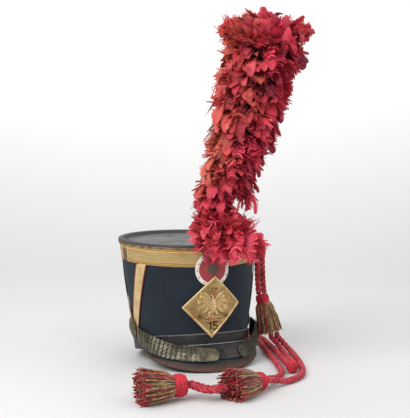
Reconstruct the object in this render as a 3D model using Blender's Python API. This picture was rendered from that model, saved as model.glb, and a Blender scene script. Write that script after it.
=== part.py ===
"""A cloth and leather shako with brass fittings, a feather plume and tasselled cords, on a table.

Metres, +Z up. The front looks along -Y and the wearer's left is +X. The hat leans back: it stands on
the rear of its base rim and on the tip of its peak. Its sizes are worked out about the middle of the
crown, and at the end the whole hat is moved so that the origin lies under the middle of its box.
Angles run from the front towards the wearer's left.
"""

import math
import random

import bmesh
import bpy
from mathutils import Vector

# the body
TOP_RADIUS = 0.120
TOP_HEIGHT = 0.2059
TOP_TILT = math.radians(1.46)
BASE_HALF_WIDTH = 0.0964
BASE_HALF_LENGTH = 0.1001
BASE_FORWARD = 0.0191
BASE_TILT = math.radians(10.3)
WALL = 0.003
SEGMENTS = 48
GAP = 0.0003

# the crown
CROWN_LEATHER = 0.0022
CROWN_TURN_DOWN = 0.0085
CROWN_SINK = 0.0045
CROWN_RIM_WIDTH = 0.0065

# gold lace
LACE = 0.0012
GALON_TOP = 0.0092
GALON_LOWER_EDGE = 0.037
CHEVRON_WIDTH = 0.024
CHEVRON_SPREAD = 0.058
CHEVRON_SLOPE = 0.411
CHEVRON_STEPS = 8
CHEVRON_ACROSS = 3

# the leather band and the peak
BAND_HEIGHT = 0.0225
BAND_LEATHER = 0.0022
EDGING_HEIGHT = 0.0033
EDGING_PROUD = 0.0009
PEAK_RUN = 0.030
PEAK_LEATHER = 0.0024
PEAK_HALF_ANGLE = math.radians(72)
PEAK_CROWNING = 0.0015
PEAK_STEPS = 44
PEAK_SIDE_FALL = 2.2
PEAK_SIDE_EASE = 0.8
PEAK_EDGE_RISE = 1.8

# rosettes and chinscales
ROSETTE_DIAMETER = 0.035
ROSETTE_THICKNESS = 0.0060
ROSETTE_UP = 0.038
STRAP_THICKNESS = 0.0016
STRAP_OVER_PEAK = 0.0016
SCALE_THICKNESS = 0.0014
SCALES = 15
STRAP_CROWNING = 0.0012
TONGUE_WIDTH = 0.017
TONGUE_THICKNESS = 0.002

# cockade and plate
COCKADE_DIAMETER = 0.058
COCKADE_THICKNESS = 0.002
COCKADE_DOWN = 0.0385
PLATE_WIDTH = 0.102
PLATE_HEIGHT = 0.105
PLATE_THICKNESS = 0.0012
PLATE_BORDER = 0.0035
PLATE_RELIEF = 0.0022
PLATE_FOOT = 0.0125
PLATE_TOP_ASIDE = 0.003
PLATE_BOTTOM_ASIDE = -0.0025
PLATE_LEFT_RAISED = 0.0055
PLATE_RIGHT_RAISED = 0.0024
DIGIT_HEIGHT = 0.0125
DIGIT_STROKE = 0.0021

# the plume
PLUME_HEIGHT = 0.398
PLUME_WIDTH = 0.134
PLUME_LEAN = 0.083
PLUME_LEAN_HEADING = math.radians(-20.9)
PLUME_FOOT = 0.178
PLUME_FORWARD = 0.028
PLUME_BACKWARD = 0.020
CORE_SHARE = 0.36
CORE_SIDES = 7
CORE_ROWS = 8
LOCK_ROWS = 10
LOWEST_LOCKS = 0.02
HIGHEST_LOCKS = 0.985
LOCKS_PER_ROW = 5
LOCK_WIDTH = 0.056
LOCK_THICKNESS = 0.014
LOCK_DROOP = 1.7
LOCK_STANDING = 0.12
LOCK_UNEVEN = 0.10
LOCK_SEED = 7
STEM_DIAMETER = 0.0078
STEM_SIDES = 10
STEM_JOINT = 0.12
SOCKET_WALL = 0.0014
SOCKET_LENGTH = 0.026

# cords and tassels
CORD_DIAMETER = 0.0092
CORD_SPACING = 2.8
CORD_FEWEST = 5
HOOK_DIAMETER = 0.004
HOOK_LENGTH = 0.020
HOOK_PLATE_DIAMETER = 0.013
HOOK_PLATE_THICKNESS = 0.0015
HOOK_DOWN = 0.018
HEAD_DIAMETER = 0.0186
HEAD_ABOVE_PEG = 0.0045
HEAD_OUTWARD = 0.0022
FRINGE_RIDGES = 14

# share of the height, sideways share of the lean, share of the width
PLUME_TABLE = (
    (0.00, 0.36, 0.50),
    (0.09, 0.24, 0.86),
    (0.17, 0.16, 0.72),
    (0.23, 0.03, 0.45),
    (0.26, 0.02, 0.42),
    (0.34, 0.22, 0.60),
    (0.42, 0.40, 0.67),
    (0.49, 0.49, 0.79),
    (0.57, 0.63, 0.84),
    (0.66, 0.67, 0.88),
    (0.74, 0.70, 0.81),
    (0.82, 0.92, 0.98),
    (0.90, 0.94, 1.03),
    (0.94, 1.03, 1.00),
    (1.00, 1.00, 0.50),
)

# angle, then upper and lower edge in metres above the seam of the peak, below it when negative,
# and how far the strap stands off the leather
RIGHT_STRAP = (
    (-79, 0.0420, 0.0100, 0.0),
    (-70, 0.0340, 0.0030, 0.0),
    (-60, 0.0242, -0.0115, 0.0),
    (-50, 0.0155, -0.0190, 0.0),
    (-40, 0.0080, -0.0250, 0.0),
    (-30, 0.0015, -0.0295, 0.0),
    (-20, -0.0045, -0.0320, 0.0),
    (-10, -0.0092, -0.0335, 0.0),
    (-1, -0.0102, -0.0335, 0.0),
    (2, -0.0145, -0.0292, 0.0),
)
LEFT_STRAP = (
    (79, 0.0420, 0.0120, 0.002),
    (71, 0.0340, 0.0030, 0.008),
    (62, 0.0250, -0.0080, 0.009),
    (53, 0.0140, -0.0160, 0.007),
    (44, 0.0040, -0.0220, 0.005),
    (36, -0.0040, -0.0270, 0.003),
    (28, -0.0090, -0.0310, 0.001),
    (24, -0.0110, -0.0330, 0.0),
    (20, -0.0150, -0.0300, 0.0),
)

# place of the knot, heading of the fringe, knot radius and length, fringe length and end radius
TASSELS = {
    "tassel_1": ((0.1300, -0.0360, 0.0943), (0.206, -0.080, -0.975), 0.0125, 0.0145, 0.0541, 0.0225),
    "tassel_2": ((0.0135, -0.2773, 0.0152), (-0.900, -0.430, 0.060), 0.0145, 0.0150, 0.0575, 0.0275),
    "tassel_3": ((-0.1123, -0.2741, 0.0206), (-0.998, -0.060, 0.040), 0.0172, 0.0200, 0.0505, 0.0285),
}
# place of the knot, heading away from its cords, radius and length
CORNER_KNOT = ((0.1087, -0.1967, 0.0105), (-0.360, -0.933, 0.0), 0.0102, 0.0160)
# angle at which each hook stands on the galon
HOOKS = {"left": 74, "rear": 124}

# the cords' routes about the middle of the crown, chosen point by point
CORD_ROUTES = {
    "cord_left_outer": (
        (0.1284, -0.0378, 0.1742), (0.1286, -0.0379, 0.1600), (0.1296, -0.0377, 0.1350),
        (0.1313, -0.0372, 0.1150), (0.1330, -0.0367, 0.1034),
    ),
    "cord_left_inner": (
        (0.1192, -0.0352, 0.1742), (0.1194, -0.0352, 0.1600), (0.1204, -0.0350, 0.1350),
        (0.1222, -0.0345, 0.1130), (0.1239, -0.0341, 0.1012),
    ),
    "cord_right_outer": (
        (0.1535, -0.0440, 0.0342), (0.1560, -0.0455, 0.0255), (0.1610, -0.0505, 0.0190),
        (0.1655, -0.0610, 0.0110), (0.1665, -0.0740, 0.0062), (0.1640, -0.0900, 0.0049),
        (0.1585, -0.1080, 0.0048), (0.1520, -0.1300, 0.0048), (0.1430, -0.1580, 0.0048),
        (0.1335, -0.1830, 0.0048), (0.1215, -0.2100, 0.0048), (0.1050, -0.2340, 0.0048),
        (0.0840, -0.2500, 0.0050), (0.0640, -0.2590, 0.0065), (0.0480, -0.2650, 0.0105),
        (0.0339, -0.2728, 0.0138), (0.0231, -0.2780, 0.0147),
    ),
    "cord_right_inner": (
        (0.1431, -0.0411, 0.0318), (0.1458, -0.0425, 0.0235), (0.1500, -0.0470, 0.0180),
        (0.1535, -0.0560, 0.0110), (0.1540, -0.0680, 0.0062), (0.1505, -0.0830, 0.0049),
        (0.1440, -0.1050, 0.0048), (0.1375, -0.1280, 0.0050), (0.1310, -0.1520, 0.0065),
        (0.1209, -0.1789, 0.0102), (0.1166, -0.1901, 0.0105),
    ),
    "cord_rear_inner": (
        (0.1128, 0.0703, 0.1775), (0.1129, 0.0704, 0.1500), (0.1130, 0.0706, 0.1100),
        (0.1133, 0.0710, 0.0700), (0.1150, 0.0718, 0.0380), (0.1210, 0.0722, 0.0160),
        (0.1330, 0.0680, 0.0060), (0.1430, 0.0570, 0.0048), (0.1490, 0.0410, 0.0048),
        (0.1475, 0.0150, 0.0048), (0.1365, -0.0277, 0.0048), (0.1224, -0.0805, 0.0048),
        (0.1080, -0.1380, 0.0048), (0.0945, -0.1830, 0.0048), (0.0860, -0.2050, 0.0048),
        (0.0740, -0.2240, 0.0050), (0.0590, -0.2390, 0.0065), (0.0440, -0.2520, 0.0105),
        (0.0297, -0.2640, 0.0138), (0.0189, -0.2692, 0.0147),
    ),
    "cord_rear_outer": (
        (0.1074, 0.0783, 0.1775), (0.1075, 0.0784, 0.1500), (0.1076, 0.0786, 0.1100),
        (0.1080, 0.0792, 0.0700), (0.1100, 0.0815, 0.0380), (0.1170, 0.0860, 0.0160),
        (0.1300, 0.0865, 0.0060), (0.1445, 0.0790, 0.0048), (0.1570, 0.0670, 0.0048),
        (0.1630, 0.0500, 0.0048), (0.1630, 0.0300, 0.0048), (0.1585, 0.0050, 0.0048),
        (0.1500, -0.0330, 0.0048), (0.1395, -0.0780, 0.0048), (0.1300, -0.1150, 0.0050),
        (0.1205, -0.1500, 0.0065), (0.1117, -0.1753, 0.0102), (0.1074, -0.1865, 0.0105),
    ),
    "cord_front_rear": (
        (-0.0530, -0.2947, 0.0195), (-0.0610, -0.2965, 0.0178), (-0.0705, -0.2920, 0.0165),
        (-0.0795, -0.2800, 0.0175), (-0.0884, -0.2700, 0.0195), (-0.0983, -0.2685, 0.0201),
    ),
    "cord_front_near": (
        (-0.0487, -0.3037, 0.0195), (-0.0612, -0.3066, 0.0178), (-0.0772, -0.2997, 0.0165),
        (-0.0866, -0.2872, 0.0175), (-0.0930, -0.2793, 0.0195), (-0.0992, -0.2783, 0.0201),
    ),
}


def base_point(angle, out):
    """The point of the base rim at an angle, moved outwards in the rim's own plane."""
    x = (BASE_HALF_WIDTH + out) * math.sin(angle)
    y = -BASE_FORWARD - (BASE_HALF_LENGTH + out) * math.cos(angle)
    rear = BASE_HALF_LENGTH - BASE_FORWARD
    return Vector((x, y, (rear - y) * math.tan(BASE_TILT)))


def top_point(angle, out):
    """The point of the crown's edge at an angle, moved outwards in the crown's plane."""
    x = (TOP_RADIUS + out) * math.sin(angle)
    y = -(TOP_RADIUS + out) * math.cos(angle)
    return Vector((x, y, TOP_HEIGHT + y * math.tan(TOP_TILT)))


def wall_length(angle):
    return (top_point(angle, 0) - base_point(angle, 0)).length


def wall(angle, up, out):
    """A point on the wall: how far up from the base rim, and how far out of the cloth."""
    low = base_point(angle, out)
    high = top_point(angle, out)
    return low.lerp(high, up / wall_length(angle))


def outward(angle):
    """The level direction out of the wall."""
    return Vector((math.sin(angle), -math.cos(angle), 0))


def faces_outwards(bm):
    bmesh.ops.recalc_face_normals(bm, faces=bm.faces)
    if bm.calc_volume(signed=True) < 0:
        bmesh.ops.reverse_faces(bm, faces=bm.faces[:])


def mesh_object(name, bm, colour, roughness, metallic=0.0, smooth=40):
    """Make a closed mesh an object of its own, with its own material."""
    faces_outwards(bm)
    mesh = bpy.data.meshes.new(name)
    bm.to_mesh(mesh)
    bm.free()
    obj = bpy.data.objects.new(name, mesh)
    bpy.context.scene.collection.objects.link(obj)
    finish(obj, colour, roughness, metallic)
    mesh.shade_smooth()
    mesh.set_sharp_from_angle(angle=math.radians(smooth))
    return obj


def finish(obj, colour, roughness, metallic=0.0):
    material = bpy.data.materials.new(obj.name)
    material.use_nodes = True
    shader = material.node_tree.nodes["Principled BSDF"]
    shader.inputs["Base Color"].default_value = (*colour, 1)
    shader.inputs["Roughness"].default_value = roughness
    shader.inputs["Metallic"].default_value = metallic
    obj.data.materials.append(material)


def loft(sections, closed=False, caps=True):
    """A mesh through like loops of points: a ring when closed, else with its two ends capped."""
    bm = bmesh.new()
    loops = [[bm.verts.new(point) for point in section] for section in sections]
    count = len(loops[0])
    pairs = list(zip(loops, loops[1:]))
    if closed:
        pairs.append((loops[-1], loops[0]))
    for one, two in pairs:
        for i in range(count):
            j = (i + 1) % count
            bm.faces.new((one[i], one[j], two[j], two[i]))
    if caps and not closed:
        bm.faces.new(loops[0])
        bm.faces.new(loops[-1])
        bmesh.ops.triangulate(bm, faces=[f for f in bm.faces if len(f.verts) > 4])
    return bm


def turned(profile, place, heading, sides, shape=None):
    """A turned shape: rows of (radius, distance along the heading), with a point at both ends."""
    heading = Vector(heading).normalized()
    across = heading.orthogonal().normalized()
    over = heading.cross(across)
    bm = bmesh.new()
    rings = []
    for radius, along in profile:
        ring = []
        for i in range(sides):
            turn = 2 * math.pi * i / sides
            reach = radius * (shape(i, along) if shape else 1)
            spoke = across * math.cos(turn) + over * math.sin(turn)
            ring.append(bm.verts.new(Vector(place) + heading * along + spoke * reach))
        rings.append(ring)
    for one, two in zip(rings, rings[1:]):
        for i in range(sides):
            j = (i + 1) % sides
            bm.faces.new((one[i], one[j], two[j], two[i]))
    for ring, along in ((rings[0], profile[0][1]), (rings[-1], profile[-1][1])):
        tip = bm.verts.new(Vector(place) + heading * along)
        for i in range(sides):
            bm.faces.new((ring[i], ring[(i + 1) % sides], tip))
    return bm


def around():
    return [2 * math.pi * i / SEGMENTS for i in range(SEGMENTS)]


def ring_on_wall(profile):
    """A hoop round the body: rows of (distance, out); a negative distance is measured down."""
    sections = []
    for angle in around():
        length = wall_length(angle)
        sections.append([wall(angle, up if up >= 0 else length + up, out) for up, out in profile])
    return loft(sections, closed=True)


def boolean(obj, cutter, operation):
    """Join or cut with another mesh, and leave only the result."""
    modifier = obj.modifiers.new(operation, "BOOLEAN")
    modifier.operation = operation
    modifier.object = cutter
    graph = bpy.context.evaluated_depsgraph_get()
    result = bpy.data.meshes.new_from_object(obj.evaluated_get(graph))
    obj.modifiers.clear()
    old = obj.data
    obj.data = result
    bpy.data.meshes.remove(old)
    bpy.data.objects.remove(cutter)


def tool_object(bm):
    faces_outwards(bm)
    mesh = bpy.data.meshes.new("tool")
    bm.to_mesh(mesh)
    bm.free()
    obj = bpy.data.objects.new("tool", mesh)
    bpy.context.scene.collection.objects.link(obj)
    return obj


def body_shell():
    """The cloth wall, open below, whose lower rim is flat."""
    top = -(CROWN_LEATHER + GAP)
    bm = ring_on_wall(((0, 0), (top, 0), (top, -WALL), (0, -WALL)))
    mesh_object("body_shell", bm, (0.012, 0.016, 0.026), 0.95)


def crown_top():
    """The crown's leather: a sunken disc, a rim that stands round it, and a turned-down edge."""
    leather = CROWN_LEATHER
    inner = -WALL - GAP
    disc = inner - leather
    rows = (
        (0.000, -CROWN_SINK, 0.0),
        (disc - CROWN_RIM_WIDTH * 0.6, -CROWN_SINK, 1.0),
        (disc - CROWN_RIM_WIDTH * 0.2, leather * 0.3, 1.0),
        (0.0, leather * 0.6, 1.0),
        (leather, -leather * 0.4, 1.0),
        (leather + GAP, -CROWN_TURN_DOWN, 1.0),
        (GAP, -CROWN_TURN_DOWN, 1.0),
        (GAP, -leather, 1.0),
        (inner, -leather, 1.0),
        (inner, -CROWN_SINK - leather, 1.0),
        (0.000, -CROWN_SINK - leather, 0.0),
    )
    bm = bmesh.new()
    rings = []
    for out, rise, spread in rows:
        if spread == 0:
            rings.append([bm.verts.new((0, 0, TOP_HEIGHT + rise))])
            continue
        ring = []
        for angle in around():
            ring.append(bm.verts.new(wall(angle, wall_length(angle) + rise, out)))
        rings.append(ring)
    for one, two in zip(rings, rings[1:]):
        for i in range(SEGMENTS):
            j = (i + 1) % SEGMENTS
            if len(one) == 1:
                bm.faces.new((one[0], two[j], two[i]))
            elif len(two) == 1:
                bm.faces.new((one[i], one[j], two[0]))
            else:
                bm.faces.new((one[i], one[j], two[j], two[i]))
    mesh_object("crown_top", bm, (0.045, 0.046, 0.050), 0.55)


def galon():
    """The gold lace round the top of the body."""
    rows = (
        (-GALON_LOWER_EDGE, GAP),
        (-GALON_LOWER_EDGE, GAP + LACE),
        (-GALON_TOP, GAP + LACE),
        (-GALON_TOP, GAP),
    )
    mesh_object("galon", ring_on_wall(rows), (0.50, 0.33, 0.12), 0.6, 0.3)


def chevron(name, side_angle):
    """A V of gold lace on one side, from the galon down to the band, its point behind the rosette."""
    low = BAND_HEIGHT + GAP
    top = wall_length(side_angle) - GALON_LOWER_EDGE - GAP
    radius = (TOP_RADIUS + BASE_HALF_LENGTH) / 2
    half = CHEVRON_WIDTH / 2 * math.sqrt(1 + CHEVRON_SLOPE**2)
    outer_top = CHEVRON_SPREAD + half
    inner_top = CHEVRON_SPREAD - half
    outer_low = max(outer_top - (top - low) * CHEVRON_SLOPE, half)
    point = top - inner_top / CHEVRON_SLOPE
    edges = []
    for i in range(CHEVRON_STEPS):
        share = i / CHEVRON_STEPS
        outer = (outer_top + (outer_low - outer_top) * share, top + (low - top) * share)
        inner = (inner_top * (1 - share), top + (point - top) * share)
        edges.append((outer, inner))
    edges.append(((outer_low, low), (inner_top * 0.04, point + 0.001)))
    edges.append(((0, low), (0, point)))
    edges += [((-outer[0], outer[1]), (-inner[0], inner[1])) for outer, inner in edges[-2::-1]]
    sections = []
    for outer, inner in edges:
        across = [Vector(outer).lerp(Vector(inner), j / CHEVRON_ACROSS) for j in range(CHEVRON_ACROSS + 1)]
        back = [(point_across, GAP) for point_across in across]
        face = [(point_across, GAP + LACE) for point_across in across[::-1]]
        section = []
        for (aside, up), out in back + face:
            angle = side_angle + aside / radius
            # the galon's lower edge follows the crown, so the arms end below it all along
            limit = wall_length(angle) - GALON_LOWER_EDGE - GAP
            section.append(wall(angle, min(up, limit) if up < top else limit, out))
        sections.append(section)
    mesh_object(name, loft(sections), (0.52, 0.35, 0.13), 0.6, 0.3)


def base_band():
    """The leather band round the base, with its raised upper edging."""
    face = GAP + BAND_LEATHER
    rows = (
        (0, GAP),
        (0, face),
        (BAND_HEIGHT - EDGING_HEIGHT, face),
        (BAND_HEIGHT - EDGING_HEIGHT, face + EDGING_PROUD),
        (BAND_HEIGHT, face + EDGING_PROUD),
        (BAND_HEIGHT, GAP),
    )
    mesh_object("base_band", ring_on_wall(rows), (0.020, 0.020, 0.022), 0.5)


def peak_seam(angle, rise):
    return wall(angle, rise, 2 * GAP + BAND_LEATHER)


def peak_edge(angle):
    """The lower corner of the peak's outer edge: on the table at the front, rising to the sides."""
    share = min(abs(angle) / PEAK_HALF_ANGLE, 1)
    run = PEAK_RUN * (1 - share**PEAK_SIDE_FALL) ** PEAK_SIDE_EASE
    point = base_point(angle, 2 * GAP + BAND_LEATHER + run)
    point.z = base_point(PEAK_HALF_ANGLE, 0).z * share**PEAK_EDGE_RISE
    return point


def peak_normal(angle):
    """The direction out of the peak's upper face."""
    slope = (peak_edge(angle) - peak_seam(angle, 0)).normalized()
    up = outward(angle)
    return (up - slope * up.dot(slope)).normalized()


def peak_crowning(angle):
    """How far the peak's face stands above a flat one, in proportion to its run."""
    return PEAK_CROWNING * (peak_edge(angle) - peak_seam(angle, 0)).length / PEAK_RUN


def peak():
    """The leather peak, sewn to the band, slightly crowned."""
    sections = []
    last = PEAK_HALF_ANGLE * 0.985
    for i in range(PEAK_STEPS + 1):
        angle = -last + 2 * last * i / PEAK_STEPS
        up = peak_normal(angle)
        seam = peak_seam(angle, 0)
        edge = peak_edge(angle)
        middle = seam.lerp(edge, 0.5) + up * peak_crowning(angle)
        section = [seam, middle, edge]
        section += [edge + up * PEAK_LEATHER * 0.8, middle + up * PEAK_LEATHER]
        section.append(peak_seam(angle, PEAK_LEATHER * 1.1))
        sections.append(section)
    mesh_object("peak", loft(sections), (0.035, 0.034, 0.036), 0.55)


def leather_point(angle, above, lift):
    """A point over the leather: above the seam it is over the band, below it over the peak."""
    band_out = GAP + BAND_LEATHER + EDGING_PROUD + GAP + lift
    if above >= 0:
        lip = PEAK_LEATHER * 1.5 if abs(angle) < PEAK_HALF_ANGLE else 0
        return wall(angle, max(above, lip), band_out)
    seam = peak_seam(angle, PEAK_LEATHER * 1.1)
    edge = peak_edge(angle) + peak_normal(angle) * PEAK_LEATHER
    down = (edge - seam).normalized()
    clear = peak_crowning(angle) + STRAP_OVER_PEAK + lift
    return seam + down * -above + peak_normal(angle) * clear


def between(table, angle):
    """The row of a table for an angle, eased between its neighbours."""
    rows = sorted(table)
    for one, two in zip(rows, rows[1:]):
        if one[0] <= angle <= two[0]:
            share = (angle - one[0]) / (two[0] - one[0])
            return [a + (b - a) * share for a, b in zip(one, two)]
    return list(rows[-1] if angle > rows[-1][0] else rows[0])


def strap_section(table, angle, thickness):
    """A crowned section of the strap: a flat back and five points over its face."""
    row = between(table, angle)
    turn = math.radians(angle)
    upper = leather_point(turn, row[1], row[3])
    lower = leather_point(turn, row[2], row[3])
    across = (lower - upper).normalized()
    out = outward(turn)
    out = (out - across * out.dot(across)).normalized()
    section = [upper, lower]
    for share in (1.0, 0.75, 0.5, 0.25, 0.0):
        crown = STRAP_CROWNING * (1 - (2 * share - 1) ** 2)
        section.append(upper.lerp(lower, share) + out * (thickness + crown))
    return section


def chinscales(name, table):
    """A leather strap covered with overlapping scales, each a step thicker at its free end."""
    first = table[0][0]
    last = table[-1][0]
    sections = []
    for i in range(SCALES):
        start = first + (last - first) * i / SCALES
        stop = first + (last - first) * (i + 1) / SCALES
        free = start + (stop - start) * 0.93
        sections.append(strap_section(table, start, STRAP_THICKNESS))
        sections.append(strap_section(table, free, STRAP_THICKNESS + SCALE_THICKNESS))
    sections.append(strap_section(table, last, STRAP_THICKNESS))
    mesh_object(name, loft(sections), (0.20, 0.19, 0.13), 0.45, 0.7)


def strap_tongue():
    """The leather tongue on the peak that links the two chinscales."""
    clear = 0.35
    start = RIGHT_STRAP[-1][0] + clear
    stop = LEFT_STRAP[-1][0] - clear
    middle = (RIGHT_STRAP[-1][1] + RIGHT_STRAP[-1][2]) / 2
    table = (
        (start, middle + TONGUE_WIDTH / 2, middle - TONGUE_WIDTH / 2, 0.0),
        (stop, middle + TONGUE_WIDTH / 2, middle - TONGUE_WIDTH / 2, 0.0),
    )
    steps = 6
    sections = []
    for i in range(steps + 1):
        sections.append(strap_section(table, start + (stop - start) * i / steps, TONGUE_THICKNESS))
    mesh_object("strap_tongue", loft(sections), (0.020, 0.020, 0.020), 0.6)


def rosette(name, side_angle):
    """A domed brass rosette with a ringed face, over the band at one side."""
    out = GAP + BAND_LEATHER + EDGING_PROUD + GAP
    place = wall(side_angle, ROSETTE_UP, out)
    radius = ROSETTE_DIAMETER / 2
    depth = ROSETTE_THICKNESS
    profile = (
        (radius * 0.94, 0),
        (radius, depth * 0.18),
        (radius * 0.90, depth * 0.42),
        (radius * 0.74, depth * 0.34),
        (radius * 0.60, depth * 0.62),
        (radius * 0.42, depth * 0.86),
        (radius * 0.18, depth),
    )
    bm = turned(profile, place, facing(side_angle, ROSETTE_UP, out), 20)
    mesh_object(name, bm, (0.24, 0.22, 0.14), 0.45, 0.8)


def face_point(aside, up, out):
    """A point over the front: aside towards the wearer's left, up from the base rim."""
    share = up / wall_length(0)
    radius = (BASE_HALF_WIDTH + BASE_HALF_LENGTH) / 2 * (1 - share) + TOP_RADIUS * share
    return wall(aside / radius, up, out)


def cockade():
    """The round cockade over the galon: a raised outer ring, a flat ring and a centre."""
    up = wall_length(0) - COCKADE_DOWN
    back = GAP + LACE + GAP
    radius = COCKADE_DIAMETER / 2
    thick = COCKADE_THICKNESS
    rows = ((1.0, 0.0), (1.0, 0.7), (0.94, 1.0), (0.78, 1.0), (0.74, 0.7), (0.42, 0.7), (0.38, 0.95))
    sides = 30
    bm = bmesh.new()
    rings = []
    for share, level in rows:
        ring = []
        for i in range(sides):
            turn = 2 * math.pi * i / sides
            aside = radius * share * math.sin(turn)
            rise = radius * share * math.cos(turn)
            ring.append(bm.verts.new(face_point(aside, up + rise, back + thick * level)))
        rings.append(ring)
    for one, two in zip(rings, rings[1:]):
        for i in range(sides):
            j = (i + 1) % sides
            bm.faces.new((one[i], one[j], two[j], two[i]))
    for ring, level in ((rings[0], 0.0), (rings[-1], 0.95)):
        half = []
        for i in range(sides):
            turn = 2 * math.pi * i / sides
            share = 0.5 if level == 0.0 else 0.19
            aside = radius * share * math.sin(turn)
            rise = radius * share * math.cos(turn)
            half.append(bm.verts.new(face_point(aside, up + rise, back + thick * level)))
        middle = bm.verts.new(face_point(0, up, back + thick * level))
        for i in range(sides):
            j = (i + 1) % sides
            bm.faces.new((ring[i], ring[j], half[j], half[i]))
            bm.faces.new((half[i], half[j], middle))
    mesh_object("cockade", bm, (0.45, 0.10, 0.08), 0.6)


def prism(outline, low, high, taper=0.0):
    """A raised shape on the flat plate, whose top is drawn in by a share."""
    middle = Vector((sum(p[0] for p in outline), sum(p[1] for p in outline))) / len(outline)
    lower = [Vector((p[0], p[1], low)) for p in outline]
    upper = []
    for point in outline:
        drawn = Vector(point).lerp(middle, taper)
        upper.append(Vector((drawn.x, drawn.y, high)))
    return loft([lower, upper])


def stroke(points, width, low, high):
    """A flat stroke along a path, such as one drawn by a pen."""
    path = [Vector((*point, 0)) for point in points]
    sections = []
    for i, point in enumerate(path):
        before = path[max(i - 1, 0)]
        after = path[min(i + 1, len(path) - 1)]
        along = (after - before).normalized()
        side = Vector((-along.y, along.x, 0)) * width / 2
        corners = []
        for edge, level in ((side, low), (side, high), (-side, high), (-side, low)):
            corners.append(point + edge + Vector((0, 0, level)))
        sections.append(corners)
    return loft(sections)


def arc(centre, radius, start, stop, steps):
    points = []
    for i in range(steps + 1):
        turn = math.radians(start + (stop - start) * i / steps)
        points.append((centre[0] + radius * math.cos(turn), centre[1] + radius * math.sin(turn)))
    return points


def digit_strokes(low):
    """The pen strokes of a plain 1 and 5 that stand on a line."""
    height = DIGIT_HEIGHT
    stem = -height * 0.32
    one = (
        ((stem - height * 0.18, low + height * 0.80), (stem, low + height * 0.96)),
        ((stem, low + height), (stem, low)),
    )
    left = height * 0.08
    waist = low + height * 0.58
    bowl = arc((height * 0.28, low + height * 0.30), height * 0.30, 80, -150, 8)
    five = (
        ((height * 0.54, low + height), (left - DIGIT_STROKE / 2, low + height)),
        ((left, low + height), (left, waist - DIGIT_STROKE / 2)),
        [(left - DIGIT_STROKE / 2, waist)] + bowl,
    )
    return one + five


def plate_corners(inset=0.0):
    """The lozenge's corners from the wearer's left round over the top, moved in by an inset."""
    half = PLATE_WIDTH / 2 - inset * math.sqrt(2)
    rise = PLATE_HEIGHT / 2 - inset * math.sqrt(2)
    return (
        (half, PLATE_LEFT_RAISED),
        (PLATE_TOP_ASIDE, rise),
        (-half, PLATE_RIGHT_RAISED),
        (PLATE_BOTTOM_ASIDE, -rise),
    )


def eagle(low, high):
    """A crowned spread eagle on a thunderbolt, in a few raised shapes."""
    unit = PLATE_HEIGHT / 100
    shapes = []
    for side in (1, -1):
        wing = [(2, 3), (7, 16), (13, 22), (19, 19), (25, 10), (24, -2), (18, -7), (9, -8)]
        shapes.append((wing, 0.65, 0.12))
        thigh = [(2, -6), (7, -7), (9, -13), (4, -14)]
        shapes.append((thigh, 0.7, 0.2))
        shapes[-2] = ([(side * x, y) for x, y in wing], 0.65, 0.12)
        shapes[-1] = ([(side * x, y) for x, y in thigh], 0.7, 0.2)
    body = [(0, 15), (4.5, 11), (6, 2), (4, -8), (0, -12), (-4, -8), (-6, 2), (-4.5, 11)]
    head = [(-1, 13), (3, 14), (4, 19), (0, 22), (-5, 19), (-8, 17), (-4, 16)]
    crown = [(-3.5, 23), (3.5, 23), (5, 29), (0, 31.5), (-5, 29)]
    bolt = [(-24, -15), (-10, -13), (0, -15), (12, -13), (24, -16), (13, -18.5), (0, -19.5), (-12, -18)]
    tail = [(-3, -12), (3, -12), (6, -22), (0, -24), (-6, -22)]
    shapes += [(body, 1.0, 0.3), (head, 0.9, 0.3), (crown, 0.8, 0.2), (bolt, 0.75, 0.1), (tail, 0.6, 0.1)]
    solids = []
    for outline, share, taper in shapes:
        points = [(x * unit, y * unit) for x, y in outline]
        solids.append(prism(points, low, low + (high - low) * share, taper))
    return solids


def plate():
    """The lozenge plate: a raised border, an eagle in relief and a pierced number, bent to the wall."""
    thick = PLATE_THICKNESS
    bm = prism(plate_corners(), 0, thick)
    sheet = tool_object(bm)
    outer = [Vector((*corner, 0)) for corner in plate_corners()]
    inner = [Vector((*corner, 0)) for corner in plate_corners(PLATE_BORDER)]
    sections = []
    for out, into in zip(outer, inner):
        foot = thick * 0.3
        top = thick + 0.0009
        section = []
        for point, level in ((out, foot), (out, top), (into, top), (into, foot)):
            section.append(point + Vector((0, 0, level)))
        sections.append(section)
    boolean(sheet, tool_object(loft(sections, closed=True)), "UNION")
    for solid in eagle(thick * 0.3, thick + PLATE_RELIEF):
        boolean(sheet, tool_object(solid), "UNION")
    for path in digit_strokes(-PLATE_HEIGHT * 0.355):
        cutter = tool_object(stroke(path, DIGIT_STROKE, -thick, thick + PLATE_RELIEF * 2))
        boolean(sheet, cutter, "DIFFERENCE")
    mesh = bmesh.new()
    mesh.from_mesh(sheet.data)
    cuts = 12
    for i in range(1, cuts):
        aside = -PLATE_WIDTH / 2 + PLATE_WIDTH * i / cuts
        geometry = mesh.verts[:] + mesh.edges[:] + mesh.faces[:]
        bmesh.ops.bisect_plane(mesh, geom=geometry, plane_co=(aside, 0, 0), plane_no=(1, 0, 0))
    bmesh.ops.triangulate(mesh, faces=mesh.faces[:])
    back = GAP + LACE + GAP + COCKADE_THICKNESS + GAP
    for vert in mesh.verts:
        aside, rise, out = vert.co
        vert.co = face_point(aside, PLATE_FOOT + PLATE_HEIGHT / 2 + rise, back + out)
    bpy.data.objects.remove(sheet)
    mesh_object("plate", mesh, (0.60, 0.46, 0.18), 0.35, 0.9, smooth=30)


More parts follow.
